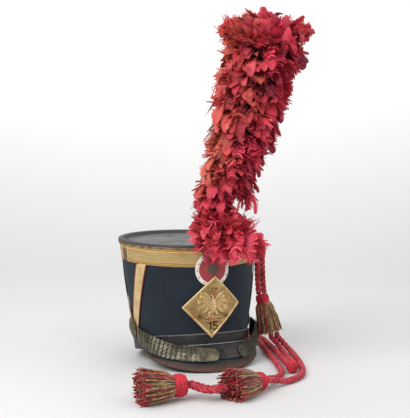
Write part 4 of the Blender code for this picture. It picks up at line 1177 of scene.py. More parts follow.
def chinscales(look, name, table, replaced, end_plate, brass):
    """A leather strap under overlapping lobed scales, with a rounded plate at its end."""
    first, last = table[0][0], table[-1][0]
    way = 1 if last > first else -1
    ring = [(0.02, 0.0), (0.98, 0.0), (0.98, 0.001)] + [(1 - i / 6, 0.0012) for i in range(7)]

    def strap(u, v):
        share, height = ring[round(v * len(ring)) % len(ring)]
        return strap_point(table, first + (last - first) * u, min(max(share, 0.02), 0.98), height)

    pieces = []
    back = grid(f"{name}_strap", 96, len(ring), strap)
    seal(back, ends=True)
    dress(back, 40, look["strap leather"], "black_leather")
    stop = last - way * end_plate
    count = 17
    pitch = (stop - first) / count
    for i in range(count):
        start = first + pitch * i
        reach = pitch * (1.42 if i < count - 1 else 1.0)

        def scale(u, v, start=start, reach=reach):
            lobe = 0.72 + 0.28 * abs(sin(pi * v * 4)) ** 0.5
            side = (2 * v - 1) ** 2
            along = start + reach * u * (lobe - 0.06 * side * side)
            height = 0.001 + 0.0019 * u + 0.0006 * sin(pi * min(u * 1.1, 1)) - 0.0003 * side
            return strap_point(table, min(max(along, min(first, last)), max(first, last)), v, height)

        piece = grid(f"{name}_scale", 12, 32, scale)
        reached = 0.46 if i else -1.0
        # painted shade near the root of each scale, under and just past the free edge of the one before it
        mark(piece, "hidden", lambda vert: min(max((reached - (vert.index % 13) / 12) / 0.1, 0), 1))
        modify(piece, "SOLIDIFY", thickness=0.0006, offset=-1 if way > 0 else 1)
        pieces.append(piece)
    if end_plate:

        def plate(u, v):
            angle = stop - way * 0.6 + (last - stop + way * 0.6) * u
            curve = sqrt(max(1 - (2 * v - 1) ** 2, 0))
            angle = min(angle, last) if way > 0 else max(angle, last)
            slim = 1 - 0.1 * u
            share = 0.5 + (v - 0.5) * slim
            shrink = 1 - (1 - curve) * 0.32 * u
            angle = stop + (angle - stop) * shrink
            return strap_point(table, angle, share, 0.0029 - 0.0008 * abs(2 * v - 1) ** 3)

        piece = grid(f"{name}_end", 18, 18, plate)
        modify(piece, "SOLIDIFY", thickness=0.0009, offset=-1 if way > 0 else 1)
        pieces.append(piece)
        for along, share in ((0.25, 0.5), (0.68, 0.3), (0.68, 0.7)):
            angle = stop + (last - stop) * along
            spot = strap_point(table, angle, share, 0.0026)
            dome_rows = ((0.0016, 0), (0.0015, 0.0006), (0.0009, 0.0011), (0.0, 0.0012))
            pieces.append(ring_lathe("dot", dome_rows, spot, strap_frame(table, angle)[2], 14))
    obj = join(pieces, name)
    turn_out(obj)
    dress(obj, 35, look[brass], "old_brass", replaced)


def strap_tongue(look):
    """The leather tongue between the chinscales, with its slits painted as thin dark shade and a dark buckle.
    """
    start, stop = RIGHT_STRAP[-1][0] + 0.35, LEFT_STRAP[-1][0] - 0.35
    middle = (RIGHT_STRAP[-1][1] + RIGHT_STRAP[-1][2]) / 2
    table = (
        (start, middle + 0.0085, middle - 0.0085, 0.0),
        (stop, middle + 0.0085, middle - 0.0085, 0.0),
    )
    ring = [(0.0, 0.0), (1.0, 0.0), (1.0, 0.0013)]
    ring += [(1 - i / 8, 0.0019) for i in range(9)] + [(0.0, 0.0013)]

    def tongue(u, v):
        share, height = ring[round(v * len(ring)) % len(ring)]
        return strap_point(table, start + (stop - start) * u, share, height)

    obj = grid("tongue_leather", 40, len(ring), tongue)
    seal(obj, ends=True)
    dress(obj, 40, look["strap leather"], "black_leather", "strap_tongue")
    frame_points = []
    middle_angle, reach = start + 2.6, 1.7
    corners = ((-1, 0.1), (-1, 0.9), (1, 0.9), (1, 0.1), (-1, 0.1))
    for (one, share), (two, other) in zip(corners, corners[1:]):
        for i in range(6):
            t = i / 6
            angle = middle_angle + reach * (one + (two - one) * t)
            frame_points.append(strap_point(table, angle, share + (other - share) * t, 0.0026))
    frame_points.append(frame_points[0])
    parts = [sweep(frame_points, 0.0007, 8)]
    pin = [strap_point(table, middle_angle + reach * side, 0.5, 0.003) for side in (-1, -0.3, 0.4, 1)]
    parts.append(sweep(pin, 0.0006, 8, rounding=0.0006))
    dress(from_arrays("tongue_buckle", *pile(parts)), 50, look["dark iron"], "black_leather")
    # the slits are thin dark tubes on the leather, painted shade standing for the cuts
    slits = []
    for i in range(4):
        angle = start + 7.0 + 2.3 * i
        slit = [strap_point(table, angle, share, 0.002) for share in (0.4, 0.5, 0.6)]
        slits.append(sweep(slit, 0.0004, 6))
    dress(from_arrays("tongue_slits", *pile(slits)), None, look["dark thread"], "black_leather")


def cockade(look):
    """The round painted cockade: a raised ring, a flat ring, a centre, and small nails."""
    up = wall_length(0) - COCKADE_DOWN
    back = 2 * GAP + LACE
    radius = COCKADE_DIAMETER / 2
    rows = (
        (0.0, 0.0), (0.99, 0.0), (1.0, 0.35), (0.99, 0.75), (0.965, 0.97), (0.9, 1.0), (0.82, 0.98),
        (0.79, 0.92), (0.775, 0.72), (0.74, 0.66), (0.6, 0.68), (0.44, 0.66), (0.41, 0.7), (0.395, 0.86),
        (0.37, 0.94), (0.24, 0.97), (0.1, 0.98), (0.0, 0.98),
    )

    def place(u, v):
        share, level = row_at(rows, v)
        turn = 2 * pi * u
        warp = 1 + 0.006 * round_noise(turn, 2, share)
        reach = min(radius * share * warp, radius)
        level -= 0.1 * abs(round_noise(turn, 3, share * 5)) * (level > 0)
        return face_point(reach * sin(turn), up + reach * cos(turn), back + COCKADE_THICKNESS * level)

    obj = grid("cockade_leather", 96, len(rows) - 1, place)
    for data in obj.data.uv_layers[0].data:
        row = round(data.uv[1] * (len(rows) - 1))
        data.uv = (rows[row][0], data.uv[0])
    seal(obj)
    dress(obj, 40, look["cockade paint"], "cockade", "cockade")
    nails = []
    for i in range(14):
        turn = 2 * pi * (i + 0.35) / 14
        spot = face_point(radius * 0.9 * sin(turn), up + radius * 0.9 * cos(turn), back + 0.0019)
        profile = ((0.0011, 0.0), (0.001, 0.0004), (0.0005, 0.0008), (0.0, 0.00085))
        nails.append(ring_lathe("nail", profile, spot, facing(0, up, back), 10))
    obj = join(nails, "cockade_nails")
    dress(obj, 60, look["dark iron"], "cockade")


def edge_distance(points, one, two):
    """Distance of points to the straight line between two others."""
    edge = two - one
    t = np.clip(((points - one) @ edge) / max(edge @ edge, 1e-12), 0, 1)
    return np.linalg.norm(points - one - t[:, None] * edge, axis=1)


def inside(points, outline):
    """Signed distance of points to a closed outline, positive inside."""
    outline = np.asarray(outline, dtype=float)
    nearest = np.full(len(points), 1e9)
    odd = np.zeros(len(points), dtype=bool)
    for one, two in zip(outline, np.roll(outline, -1, axis=0)):
        nearest = np.minimum(nearest, edge_distance(points, one, two))
        crosses = (one[1] > points[:, 1]) != (two[1] > points[:, 1])
        rise = two[1] - one[1] if two[1] != one[1] else 1e-12
        odd ^= crosses & (points[:, 0] < one[0] + (points[:, 1] - one[1]) / rise * (two[0] - one[0]))
    return np.where(odd, nearest, -nearest)


def dome(points, outline, high, round_over):
    """A smooth raised shape over an outline."""
    share = np.clip(inside(points, outline) / round_over, 0, 1)
    return high * np.sqrt(np.clip(1 - (1 - share) ** 2, 0, 1))


def line_relief(points, path, width, high):
    """A raised rounded line along a path."""
    path = np.asarray(path, dtype=float)
    nearest = np.min([edge_distance(points, one, two) for one, two in zip(path, path[1:])], axis=0)
    return high * np.sqrt(np.clip(1 - (nearest / (width / 2)) ** 2, 0, 1))


# path, width and height of the lines on each side: shoulder, claw, arrows, laurel, arch of the crown
EAGLE_SIDE_LINES = (
    (((2, 9), (6, 16), (11, 22), (15, 25), (19, 23)), 3.0, 2.1),
    (((6, -12), (9, -15.5), (12, -16)), 1.6, 2.0),
    (((11, -15.5), (25, -11.2)), 1.3, 1.5),
    (((11, -15.5), (25, -14)), 1.3, 1.5),
    (((11, -15.5), (25, -16.8)), 1.3, 1.5),
    (((2, -25), (7, -24), (12, -21.5)), 1.6, 0.9),
    (((4.2, 23.8), (6.0, 27), (4.4, 29.6), (0, 29.0)), 1.5, 1.6),
)
# and in the middle: neck, head, beak, band and post of the crown, its three balls
EAGLE_LINES = (
    (((0, 12), (-0.6, 16), (-1.5, 18.5)), 4.6, 2.4),
    (((-1.5, 18.8), (-3.2, 19.4)), 4.0, 2.4),
    (((-4.0, 19.6), (-6.6, 18.9), (-7.4, 17.2)), 1.7, 2.0),
    (((-4.2, 23.4), (4.2, 23.4)), 1.6, 1.8),
    (((0, 23.8), (0, 29.5)), 1.5, 1.7),
    (((0, 31.0), (0, 31.01)), 2.0, 1.6),
    (((6.3, 29.0), (6.3, 29.01)), 2.0, 1.6),
    (((-6.3, 29.0), (-6.3, 29.01)), 2.0, 1.6),
)
WING = ((2, 4), (5, 13), (9, 20), (14, 24), (18, 23), (22, 17), (25, 10), (26, 2), (24, -5), (21, -9),
        (17, -11), (12, -9), (8, -7), (4, -4))
THIGH = ((2, -4), (7, -5), (10, -10), (7, -14), (4, -13), (2, -9))
BOLT = ((-13, -13.4), (0, -12.6), (13, -13.4), (13, -18), (0, -18.8), (-13, -18))
TAIL = ((-2.5, -10), (2.5, -10), (7.5, -22), (4, -24.5), (0, -25), (-4, -24.5), (-7.5, -22))
BREAST = ((0, 16), (3.6, 12), (5.4, 5), (5.2, -3), (3.4, -9), (0, -12), (-3.4, -9), (-5.2, -3), (-5.4, 5),
          (-3.6, 12))


def eagle_relief(points):
    """Height of a crowned eagle on a thunderbolt, in hundredths of the plate's height."""
    x, y = points[:, 0], points[:, 1]
    shapes = [np.zeros(len(points))]
    shapes += [line_relief(points, *row) for row in EAGLE_LINES]

    def shape(outline, high, round_over, pattern, above=0.0):
        """A raised outline, with a pattern where it is higher than a value."""
        made = dome(points, outline, high, round_over)
        shapes.append(made + np.where(made > above, pattern, 0))

    for side in (1, -1):
        flip = np.array((side, 1.0))
        shapes += [line_relief(points, path * flip, width, high) for path, width, high in EAGLE_SIDE_LINES]
        body = dome(points, WING * flip, 1.3, 2.6)
        turn = np.arctan2(y - 10.0, (x - 3.0 * side) * side)
        reach = np.hypot(x - 3.0 * side, y - 10.0)
        quills = 0.5 + 0.5 * np.cos(turn * 13 + reach * 0.05)
        coverts = 0.5 + 0.5 * np.cos(reach * 1.55 + np.cos(turn * 26) * 0.7)
        feathers = np.where(reach > 12, quills, coverts) * 0.55 * np.clip(body, 0, 1)
        shapes.append(body + np.where(body > 0, feathers, 0))
        shape(THIGH * flip, 1.8, 2.6, 0.15 * np.cos(y * 3.0), above=-1.0)
        for spread in (-4.0, 0.0, 4.0):
            middle = -14 - spread * 0.7
            tip = np.array([(24.5, middle + 1.5), (29, -14 - spread * 0.8), (24.5, middle - 1.5)])
            shape(tip * flip, 1.2, 1.0, 0.0)
    shape(BOLT, 1.5, 2.2, 0.3 * np.cos(x * 1.3 + np.abs(y + 16) * 1.5))
    shape(TAIL, 1.2, 1.6, 0.3 * np.cos(np.arctan2(x, -(y + 2)) * 34))
    shape(BREAST, 2.3, 4.4, 0.26 * np.cos(y * 2.1 + np.abs(np.cos(x * 1.5)) * 1.6), above=0.4)
    return np.maximum.reduce(shapes)


def pen_strokes(low):
    """The pen strokes of a plain 1 and 5 that stand on a line, in metres."""
    height, pen = DIGIT_HEIGHT, DIGIT_PEN
    stem, left, waist = -height * 0.32, height * 0.08, low + height * 0.58
    bowl = []
    for i in range(15):
        turn = radians(80 - 230 * i / 14)
        bowl.append((height * 0.28 + height * 0.3 * cos(turn), low + height * 0.3 * (1 + sin(turn))))
    return (
        [(stem - height * 0.18, low + height * 0.8), (stem, low + height * 0.96)],
        [(stem, low + height), (stem, low)],
        [(height * 0.54, low + height), (left - pen / 2, low + height)],
        [(left, low + height), (left, waist - pen / 2)],
        [(left - pen / 2, waist)] + bowl,
    )


def plate_brass(look):
    """The lozenge plate: a raised border, an eagle in relief and a pierced number, bent to the wall."""
    left, top, right, low = (Vector((*corner, 0)) for corner in PLATE_CORNERS)

    def flat(u, v):
        return low.lerp(left, u).lerp(right.lerp(top, u), v)

    obj = grid("plate_brass", 150, 150, flat)
    points = np.empty(len(obj.data.vertices) * 3)
    obj.data.vertices.foreach_get("co", points)
    points = points.reshape(-1, 3)
    edge = inside(points[:, :2], [tuple(corner) for corner in PLATE_CORNERS])
    rim = np.clip(1 - np.abs(edge - PLATE_BORDER * 0.55) / (PLATE_BORDER * 0.52), 0, 1)
    border = 0.001 * np.sqrt(np.clip(1 - (1 - rim) ** 2, 0, 1))
    bead = 0.00035 * np.clip(1 - np.abs(edge - 0.0052) / 0.0007, 0, 1)
    relief = eagle_relief(points[:, :2] * 100 / PLATE_HEIGHT) * 0.00105
    field = np.array([0.00028 * noise.noise(Vector((x * 60, y * 60, 0.5))) for x, y, _ in points])
    points[:, 2] = PLATE_THICKNESS + np.maximum(relief, 0) * (edge > 0.004) + border + bead
    points[:, 2] += field * (edge > 0.001)
    obj.data.vertices.foreach_set("co", points.ravel())
    shown = obj.data.attributes.new("raised", "FLOAT", "POINT")
    value = np.clip(relief / 0.0022, 0, 1) * 0.7 * (edge > 0.004)
    value = np.where(border > 0.0002, 1.0, value)
    shown.data.foreach_set("value", value.astype(np.float32))
    choose(obj)
    bpy.ops.object.mode_set(mode="EDIT")
    bpy.ops.mesh.select_all(action="DESELECT")
    bpy.ops.mesh.select_mode(type="EDGE")
    bpy.ops.mesh.select_non_manifold()
    bpy.ops.mesh.extrude_edges_move()
    bpy.ops.object.mode_set(mode="OBJECT")
    for vert in obj.data.vertices:
        if vert.select:
            vert.co.z = 0
    close(obj)
    turn_out(obj)
    for path in pen_strokes(DIGIT_FOOT):
        for one, two in zip(path, path[1:]):
            one, two = Vector(one), Vector(two)
            way = (two - one).normalized()
            side = Vector((-way.y, way.x)) * DIGIT_PEN / 2
            one, two = one - way * 0.0002, two + way * 0.0002
            bpy.ops.mesh.primitive_cube_add(size=1)
            cutter = bpy.context.object
            for vert in cutter.data.vertices:
                end = one if vert.co.x < 0 else two
                corner = end + side if vert.co.y < 0 else end - side
                vert.co = Vector((*corner, vert.co.z * 0.02))
            turn_out(cutter)
            modify(obj, "BOOLEAN", operation="DIFFERENCE", object=cutter, solver="EXACT")
            bpy.data.objects.remove(cutter)
    back = 2 * GAP + LACE + COCKADE_THICKNESS + GAP
    for vert in obj.data.vertices:
        aside, rise, out = vert.co
        vert.co = face_point(aside, PLATE_FOOT + PLATE_HEIGHT / 2 + rise, back + out)
    turn_out(obj)
    dress(obj, 40, look["plate brass"], "plate_brass", "plate")


def plume_place(share):
    """The middle of the plume at a share of its height, and its half width there."""
    _, aside, width = blend_rows(PLUME_TABLE, share)
    lean = Vector((cos(PLUME_HEADING), sin(PLUME_HEADING), 0)) * PLUME_LEAN * aside
    front = outward(PLUME_HEADING) * (PLUME_FORWARD - PLUME_BACKWARD * share)
    foot = Vector((0, -TOP_RADIUS, PLUME_FOOT + PLUME_HEIGHT * share))
    return foot + lean + front + AXIS, PLUME_WIDTH / 2 * width


def feather_pattern(draw, barbs):
    """One feather, flat: rows of (across, along, off the plane) in shares, and its faces and UVs."""
    points, faces, uvs = [], [], []

    def strip(line, width_start, width_end, away):
        first = len(points)
        for k, (x, y) in enumerate(line):
            t = k / (len(line) - 1)
            before, after = line[max(k - 1, 0)], line[min(k + 1, len(line) - 1)]
            nx, ny = after[0] - before[0], after[1] - before[1]
            size = hypot(nx, ny)
            half = (width_start + (width_end - width_start) * t) / 2
            for side in (1, -1):
                points.append((x - ny / size * half * side, y + nx / size * half * side, away * sin(t * 2.4)))
                uvs.append((x, y))
        for k in range(len(line) - 1):
            a = first + 2 * k
            faces.append((a, a + 2, a + 1))
            faces.append((a + 1, a + 2, a + 3))

    strip([(0, 0.0), (0, 0.35), (0, 0.7), (0, 0.97)], 0.05, 0.02, 0.02)
    for side in (1, -1):
        for k in range(barbs):
            root = 0.06 + 0.86 * (k + draw.uniform(-0.2, 0.2)) / barbs
            size = 0.5 * sin(pi * min(0.16 + 0.8 * root, 1) ** 0.9) ** 0.55
            reach = size * draw.uniform(0.86, 1.06)
            lift = draw.uniform(0.16, 0.34) * (1.35 - root * 0.6)
            line = [(0, root), (side * reach * 0.55, root + lift * 0.42), (side * reach, root + lift)]
            strip(line, 0.115, draw.uniform(0.03, 0.075), draw.uniform(-0.05, 0.07))
    return np.array(points), np.array(faces), np.array(uvs)


def vane_pattern(draw):
    """A smooth feather, flat: (across, along, off the plane) in shares, its faces and its UVs."""
    columns, rows = 4, 8
    slim = draw.uniform(0.62, 1.0)
    points, faces, uvs = [], [], []
    wobble = [draw.uniform(0.9, 1.08) for _ in range(rows + 1)]
    bend = draw.uniform(-0.1, 0.1)
    for j in range(rows + 1):
        t = j / rows
        half = 0.5 * max(sin(pi * (0.05 + 0.9 * t) ** 1.25), 0.0) ** 0.55 * wobble[j]
        for i in range(columns + 1):
            u = 2 * i / columns - 1
            points.append((u * half * slim + bend * t * t, t - 0.05 * u * u * t, 0.05 * sin(t * 5 + i) * t))
            uvs.append((u, t))
    for j in range(rows):
        for i in range(columns):
            a = j * (columns + 1) + i
            faces.append((a, a + 1, a + columns + 2))
            faces.append((a, a + columns + 2, a + columns + 1))
    return np.array(points), np.array(faces), np.array(uvs)


def feather(pattern, root, tip, bulge, side, length, width, cup, curl):
    """A pattern laid along a bent quill from root to tip."""
    points = pattern[0]
    t = np.clip(points[:, 1], 0, 1.25)[:, None]
    middle = (root + tip) / 2 + bulge
    line = root * (1 - t) ** 2 + middle * 2 * t * (1 - t) + tip * t**2
    way = (middle - root) * 2 * (1 - t) + (tip - middle) * 2 * t
    way /= np.linalg.norm(way, axis=1)[:, None]
    across = np.broadcast_to(side, way.shape)
    out = np.cross(across, way)
    x = points[:, 0][:, None]
    depth = points[:, 2][:, None] * length - cup * (x * 2) ** 2 * width + curl * t**3 * length
    return line + across * x * width + out * depth


def plume_core(look):
    """The dark core that the feathers stand on: a near-black filler that is painted shade for the plume's
    depths.
    """
    core = []
    for i in range(22):
        share = 0.015 + 0.955 * i / 21
        place, half = plume_place(share)
        core.append((place, half * (0.52 if i not in (0, 21) else 0.2)))
    heads = np.array([tuple(place) for place, _ in core])
    tube = sweep(heads, [radius for _, radius in core], 20, lobes=9, depth=0.25, pitch=0.09)
    obj = from_arrays("plume_core", *tube)
    turn_out(obj)
    dress(obj, 80, look["plume core"], "feathers")


def plume_wisps(look, draw):
    """Loose barbs as thin as hairs round the plume's top."""
    wisps = []
    for _ in range(36):
        place, half = plume_place(draw.uniform(0.8, 0.985))
        turn = draw.uniform(0, 2 * pi)
        out = Vector((cos(turn), sin(turn), 0))
        start = place + out * half * 0.7
        end = place + out * half * draw.uniform(0.96, 1.05) + Vector((0, 0, draw.uniform(-0.006, 0.02)))
        end.z = min(end.z, CAD_BOX[1][2] + 0.008)
        wisps.append(sweep([start, start.lerp(end, 0.5) + Vector((0, 0, 0.003)), end], HAIR, 4))
    dress(from_arrays("plume_wisps", *pile(wisps)), None, look["plume core"], "feathers")


def plume(look):
    """The plume: tiers of short drooping feathers round a dark core, standing up at the top."""
    plume_core(look)
    draw = random.Random(look.plume_seed)
    patterns = [vane_pattern(draw) for _ in range(9)] + [feather_pattern(draw, 7) for _ in range(5)]
    count = look.feather_count
    right = np.array((cos(PLUME_HEADING), sin(PLUME_HEADING), 0.0))
    tiers = {name: [] for _, name in PLUME_TIERS}
    tones = {name: [] for name in tiers}
    shares = np.linspace(0.0, 1.0, 200)
    weights = np.array([plume_place(share)[1] for share in shares])
    total = np.concatenate(([0.0], np.cumsum((weights[1:] + weights[:-1]) / 2)))
    total /= total[-1]
    extra = [row for row in PLUME_SPRAYS for _ in range(row[4])]
    for i in range(count + len(extra)):
        share = float(np.interp((i + draw.random()) / count, total, shares))
        turn = i * GOLDEN_TURN + draw.uniform(-0.3, 0.3)
        spray = extra[i - count] if i >= count else None
        if spray:
            share = spray[0] + draw.uniform(-0.012, 0.012)
            turn = PLUME_HEADING + radians(spray[1] + draw.uniform(-22, 22))
        place, half = plume_place(share)
        place = np.array(place)
        out = np.array((cos(turn), sin(turn), 0.0))
        lump = noise.noise(Vector(place + out * half) * 34)
        length = look.feather_length * draw.uniform(0.7, 1.25)
        width = look.feather_width * draw.uniform(0.72, 1.25)
        layer = draw.random()
        fill = 0.66 + 0.34 * layer**0.6 + 0.13 * lump
        standing = min(max((share - 0.8) / 0.14, 0), 1)
        ball = min(max((0.24 - share) / 0.05, 0), 1)
        lean = -28 + 26 * draw.gauss(0, 0.7)
        lean += (48 + 26 * draw.gauss(0, 0.7) - lean) * standing**1.3
        lean += ((share - 0.115) / 0.115 * 58 + 22 * draw.gauss(0, 0.7) - lean) * ball
        lean = radians(min(max(lean, -75), 88))
        tip = place + out * half * fill
        tip[2] += draw.uniform(-0.005, 0.005) - 0.01 * (1 - standing) * (1 - ball)
        if share > 0.9 and i % 2:
            fill *= draw.uniform(0.15, 0.95)
            lean = radians(draw.uniform(55, 88))
            tip = place + out * half * fill
        tip[2] += 0.012 * standing * draw.uniform(0.0, 1.0)
        if ball:
            tip += out * 0.003
        if spray:
            lean = radians(spray[3] + draw.uniform(-14, 14))
            tip = place + out * half * spray[2] * draw.uniform(0.86, 1.04)
            layer = 1.0
        way = out * cos(lean) + np.array((0, 0, sin(lean)))
        root = tip - way * length
        inner = (root - place)[:2]
        reach = float(np.hypot(*inner))
        if inner @ out[:2] < 0:
            root[:2] = place[:2]
        elif reach > half * 0.8 and not spray:
            root[:2] = place[:2] + inner / reach * half * 0.8
        bulge = (out * 0.22 + np.array((0, 0, 0.16))) * length * draw.uniform(0.4, 1.4)
        side = np.cross((0, 0, 1.0), out)
        roll = 0.62 * draw.gauss(0, 0.6)
        over = np.cross(side, way)
        side = side * cos(roll) + over / max(np.linalg.norm(over), 0.001) * sin(roll)
        pattern = patterns[draw.randrange(len(patterns))]
        curl = draw.uniform(-0.3, 0.2)
        made = feather(pattern, root, tip, bulge, side, length, width, draw.uniform(0.12, 0.4), curl)
        if made[:, 2].max() > CAD_BOX[1][2] + PLUME_OVER_TOP:
            made[:, 2] -= made[:, 2].max() - CAD_BOX[1][2] - PLUME_OVER_TOP
        name = next(name for end, name in PLUME_TIERS if share < end)
        tiers[name].append((made, pattern[1], pattern[2]))
        # painted key light: feathers that face the camera's left, where the key lamp stands, get an orange
        # tint, mixed with random warm patches and none at the plume's foot
        leftness = float(-(out @ right))
        warm = noise.noise(Vector(place + out * half) * 16 + Vector((3, 0, 0)))
        warm_tone_and_painted_light = min(max(0.1 + 0.52 * leftness + 0.7 * warm + draw.gauss(0, 0.18), 0), 1)
        warm_tone_and_painted_light *= min(1, share * 3.2)
        # brightness: a random tone, lighter where the plume's surface bulges out and darker in its dips,
        # which is painted light and shade
        shade = min(max(draw.gauss(0.44, 0.2) + 0.25 * lump, 0), 1)
        # painted shade: more for feathers low in the layers and in dips of the plume's surface, less on the
        # ball
        painted_depth_shade = min(max((0.46 - layer) * 1.2 - 0.5 * lump, 0), 0.85) * (1 - 0.55 * ball)
        # painted light: the ball is lighter, most on its side towards the camera's right, and the standing
        # top is lighter
        shade = min(shade + (0.16 + 0.3 * max(-leftness, 0)) * ball + 0.2 * standing, 1)
        tones[name].append(np.tile((shade, warm_tone_and_painted_light, painted_depth_shade, 1.0), (len(made), 1)))
    for name, parts in tiers.items():
        points, faces, uvs = pile(parts)
        obj = from_arrays(name, points, faces, uvs, {"tone": np.concatenate(tones[name])})
        dress(obj, 60, look["feathers"], "feathers")
    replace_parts(bpy.data.objects["plume_low"], "plume")
    plume_wisps(look, draw)


def cords(look):
    """Eight cords of twisted wool, each along its route."""
    made = {}
    for name, route in CORD_ROUTES.items():
        path = fine_route(route)
        tube = sweep(path, CORD_DIAMETER * 0.56, 24, lobes=3, depth=0.34, pitch=look.cord_pitch,
                     rounding=0.0008)
        tube[0][:, 2] = np.maximum(tube[0][:, 2], FLOOR_CLEARANCE)
        obj = from_arrays(f"{name}_twisted", *tube)
        turn_out(obj)
        dress(obj, 75, look["red cord"], "red_cord", name)
        made[name] = (obj, path)
    for name, (obj, path) in made.items():
        length = float(np.linalg.norm(np.diff(path, axis=0), axis=1).sum())


def wrapped(look, name, low, heading, radius, length, replaced, turns, doming=0.0011):
    """A barrel wrapped in cord: ridges that wind round it."""
    rows = 44
    profile = []
    for i in range(rows + 1):
        share = i / rows
        belly = 0.78 + 0.22 * sin(pi * (0.1 + 0.8 * share)) ** 0.8
        profile.append((radius * belly, length * share))
    end = profile[0][0]
    caps = [(end * share, doming * (1 - share**2)) for share in (0.0, 0.15, 0.3, 0.45, 0.6, 0.75, 0.9)]
    lower = [(reach, -rise) for reach, rise in caps]
    profile = lower + profile + [(reach, length - rise) for reach, rise in lower[::-1]]

    def ridges(turn, reach, along):
        if along <= 0 or along >= length:
            whorl = 0.0008 * cos(turn + reach / end * 9) * min(reach / end * 3, 1)
            return reach, along + (whorl if along > 0 else -whorl) - 0.0008 * (1 if along > 0 else -1)
        share = along / length
        wound = share * turns + turn / (2 * pi)
        wave = abs(cos(pi * wound))
        plait = 0.5 + 0.5 * cos(turn * 9 + (1 if int(wound) % 2 else -1) * share * 9)
        return reach * (0.9 + 0.075 * wave + 0.025 * plait), along

    obj = ring_lathe(name, profile, low, heading, 72, ridges)
    for data in obj.data.uv_layers[0].data:
        data.uv = (data.uv[0] * 0.08, data.uv[1] * 0.02)
    dress(obj, 75, look["knot wool"], "red_cord", replaced)


def fringe(look, name, place, heading, radius, length, reach, end_radius, replaced, seed):
    """A tassel's skirt: many twisted strands of bullion that hang or lie in a bundle."""
    heading = Vector(heading).normalized()
    side = heading.orthogonal().normalized()
    over = heading.cross(side)
    start = Vector(place) + AXIS + heading * (length / 2)
    draw = random.Random(seed)
    parts, kinds = [], []
    count = look.strand_count
    lying = abs(heading.z) < 0.5
    for i in range(count):
        turn = i * GOLDEN_TURN
        spread = sqrt((i + 0.5) / count)
        spoke = side * cos(turn) + over * sin(turn)
        size = draw.uniform(0.00105, 0.00155)
        far = reach * draw.uniform(0.95, 1.0)
        drift = Vector([draw.gauss(0, 0.0011) for _ in range(3)])
        line = []
        for k in range(9):
            t = k / 8
            flare = radius * 0.86 + (end_radius * 0.97 - radius * 0.86) * min(t * 1.1, 1) ** 0.5
            point = start + heading * far * t + spoke * flare * spread + drift * t * t
            point += over * 0.0007 * sin(t * 9 + i)
            if lying:
                point.z = max(point.z, size + FLOOR_CLEARANCE + 0.0009 * (i % 3) * (1 - spread))
            line.append(tuple(point))
        parts.append(sweep(line, size, 5, lobes=2, depth=0.3, pitch=0.008))
        kind = np.full(len(parts[-1][0]), float(draw.random() < 0.28))
        if lying and draw.random() < 0.7:
            kind[5 * 7:5 * 9] = 1.0
            kind[-1] = 1.0
        kinds.append(kind)
    obj = from_arrays(name, *pile(parts), {"kind": np.concatenate(kinds)})
    dress(obj, 80, look["fringe strands"], "fringe", replaced)
    strays = []
    for i in range(12):
        turn = draw.uniform(0, 2 * pi)
        spoke = side * cos(turn) + over * sin(turn)
        line = []
        for k in range(7):
            t = k / 6
            flare = end_radius * (0.8 + 0.3 * t * draw.uniform(0.5, 1.2))
            point = start + heading * reach * (0.45 + 0.6 * t) + spoke * flare
            point += over * 0.003 * sin(t * 5 + i)
            point.z = max(point.z, 0.0004)
            line.append(tuple(point))
        strays.append(sweep(line, HAIR, 4))
    dress(from_arrays(f"{name}_strays", *pile(strays)), None, look["dark thread"], "fringe")


def tassels(look):
    for index, (name, row) in enumerate(TASSELS.items()):
        place, heading, radius, length, reach, end_radius = row
        way = Vector(heading).normalized()
        low = Vector(place) + AXIS - way * length / 2
        number = name[-1]
        wrapped(look, f"knot_{number}", low, heading, radius, length, f"{name}_knot", 4)
        fringe(look, f"fringe_{number}", place, heading, radius, length, reach, end_radius,
               f"{name}_fringe", 11 + index)
    place, heading, radius, length = CORNER_KNOT
    low = Vector(place) + AXIS - Vector(heading).normalized() * length / 2
    wrapped(look, "knot_corner", low, heading, radius, length, "corner_knot", 4, 0.0035)
    for side in ("left", "rear"):
        near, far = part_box(f"cord_head_{side}")
        foot = Vector(((near.x + far.x) / 2, (near.y + far.y) / 2, near.z - 0.0035))
        tall = far.z - foot.z
        wrapped(look, f"head_{side}", foot, (0, 0, 1), (far.x - near.x) / 2, tall, f"cord_head_{side}", 7)


def camera():
    bpy.ops.object.camera_add(location=Vector(CAMERA_PLACE) + AXIS)
    eye = bpy.context.object
    eye.rotation_euler = (pi / 2 - CAMERA_DIP, 0, CAMERA_TURN)
    eye.data.sensor_fit = "VERTICAL"
    eye.data.sensor_height = SENSOR_HEIGHT
    eye.data.lens = CAMERA_LENS
    eye.data.clip_start = 0.05
    eye.data.clip_end = 50
    eye.data.dof.use_dof = False
    bpy.context.scene.camera = eye


def floor():
    """A pale floor that curves up into a backdrop behind the hat."""
    turn = Matrix.Rotation(CAMERA_TURN, 3, "Z")
    line = [(-4.0, 0.0), (1.0, 0.0)]
    line += [(1.0 + 1.2 * sin(a), 1.2 - 1.2 * cos(a)) for a in np.linspace(0.1, pi / 2, 16)]
    line += [(2.2, 4.0)]

    def place(u, v):
        away, up = row_at(line, v)
        return turn @ Vector(((u - 0.5) * 9, away, up))

    obj = grid("backdrop", 2, len(line) - 1, place)
    smooth(obj, 60)
    shader = Shader("paper", Roughness=0.9)
    height = shader.split(shader.coords())[2]
    tone = shader.mix(shader.step(height, 0.0, 0.7), (0.64, 0.64, 0.64), (0.985, 0.985, 0.98))
    shader.feed("Base Color", tone)
    obj.data.materials.append(shader.material)
    return obj


def lamp(name, power, size, azimuth, height, distance):
    """A soft square lamp that looks at the middle of the hat; azimuth runs from the camera's side."""
    target = Vector((0, 0, 0.25)) + AXIS
    turn = CAMERA_TURN + radians(azimuth)
    place = target + outward(turn) * distance + Vector((0, 0, height))
    bpy.ops.object.light_add(type="AREA", location=place)
    light = bpy.context.object
    light.name = name
    light.rotation_euler = (target - place).to_track_quat("-Z", "Y").to_euler()
    light.data.energy = power
    light.data.size = size
    return light


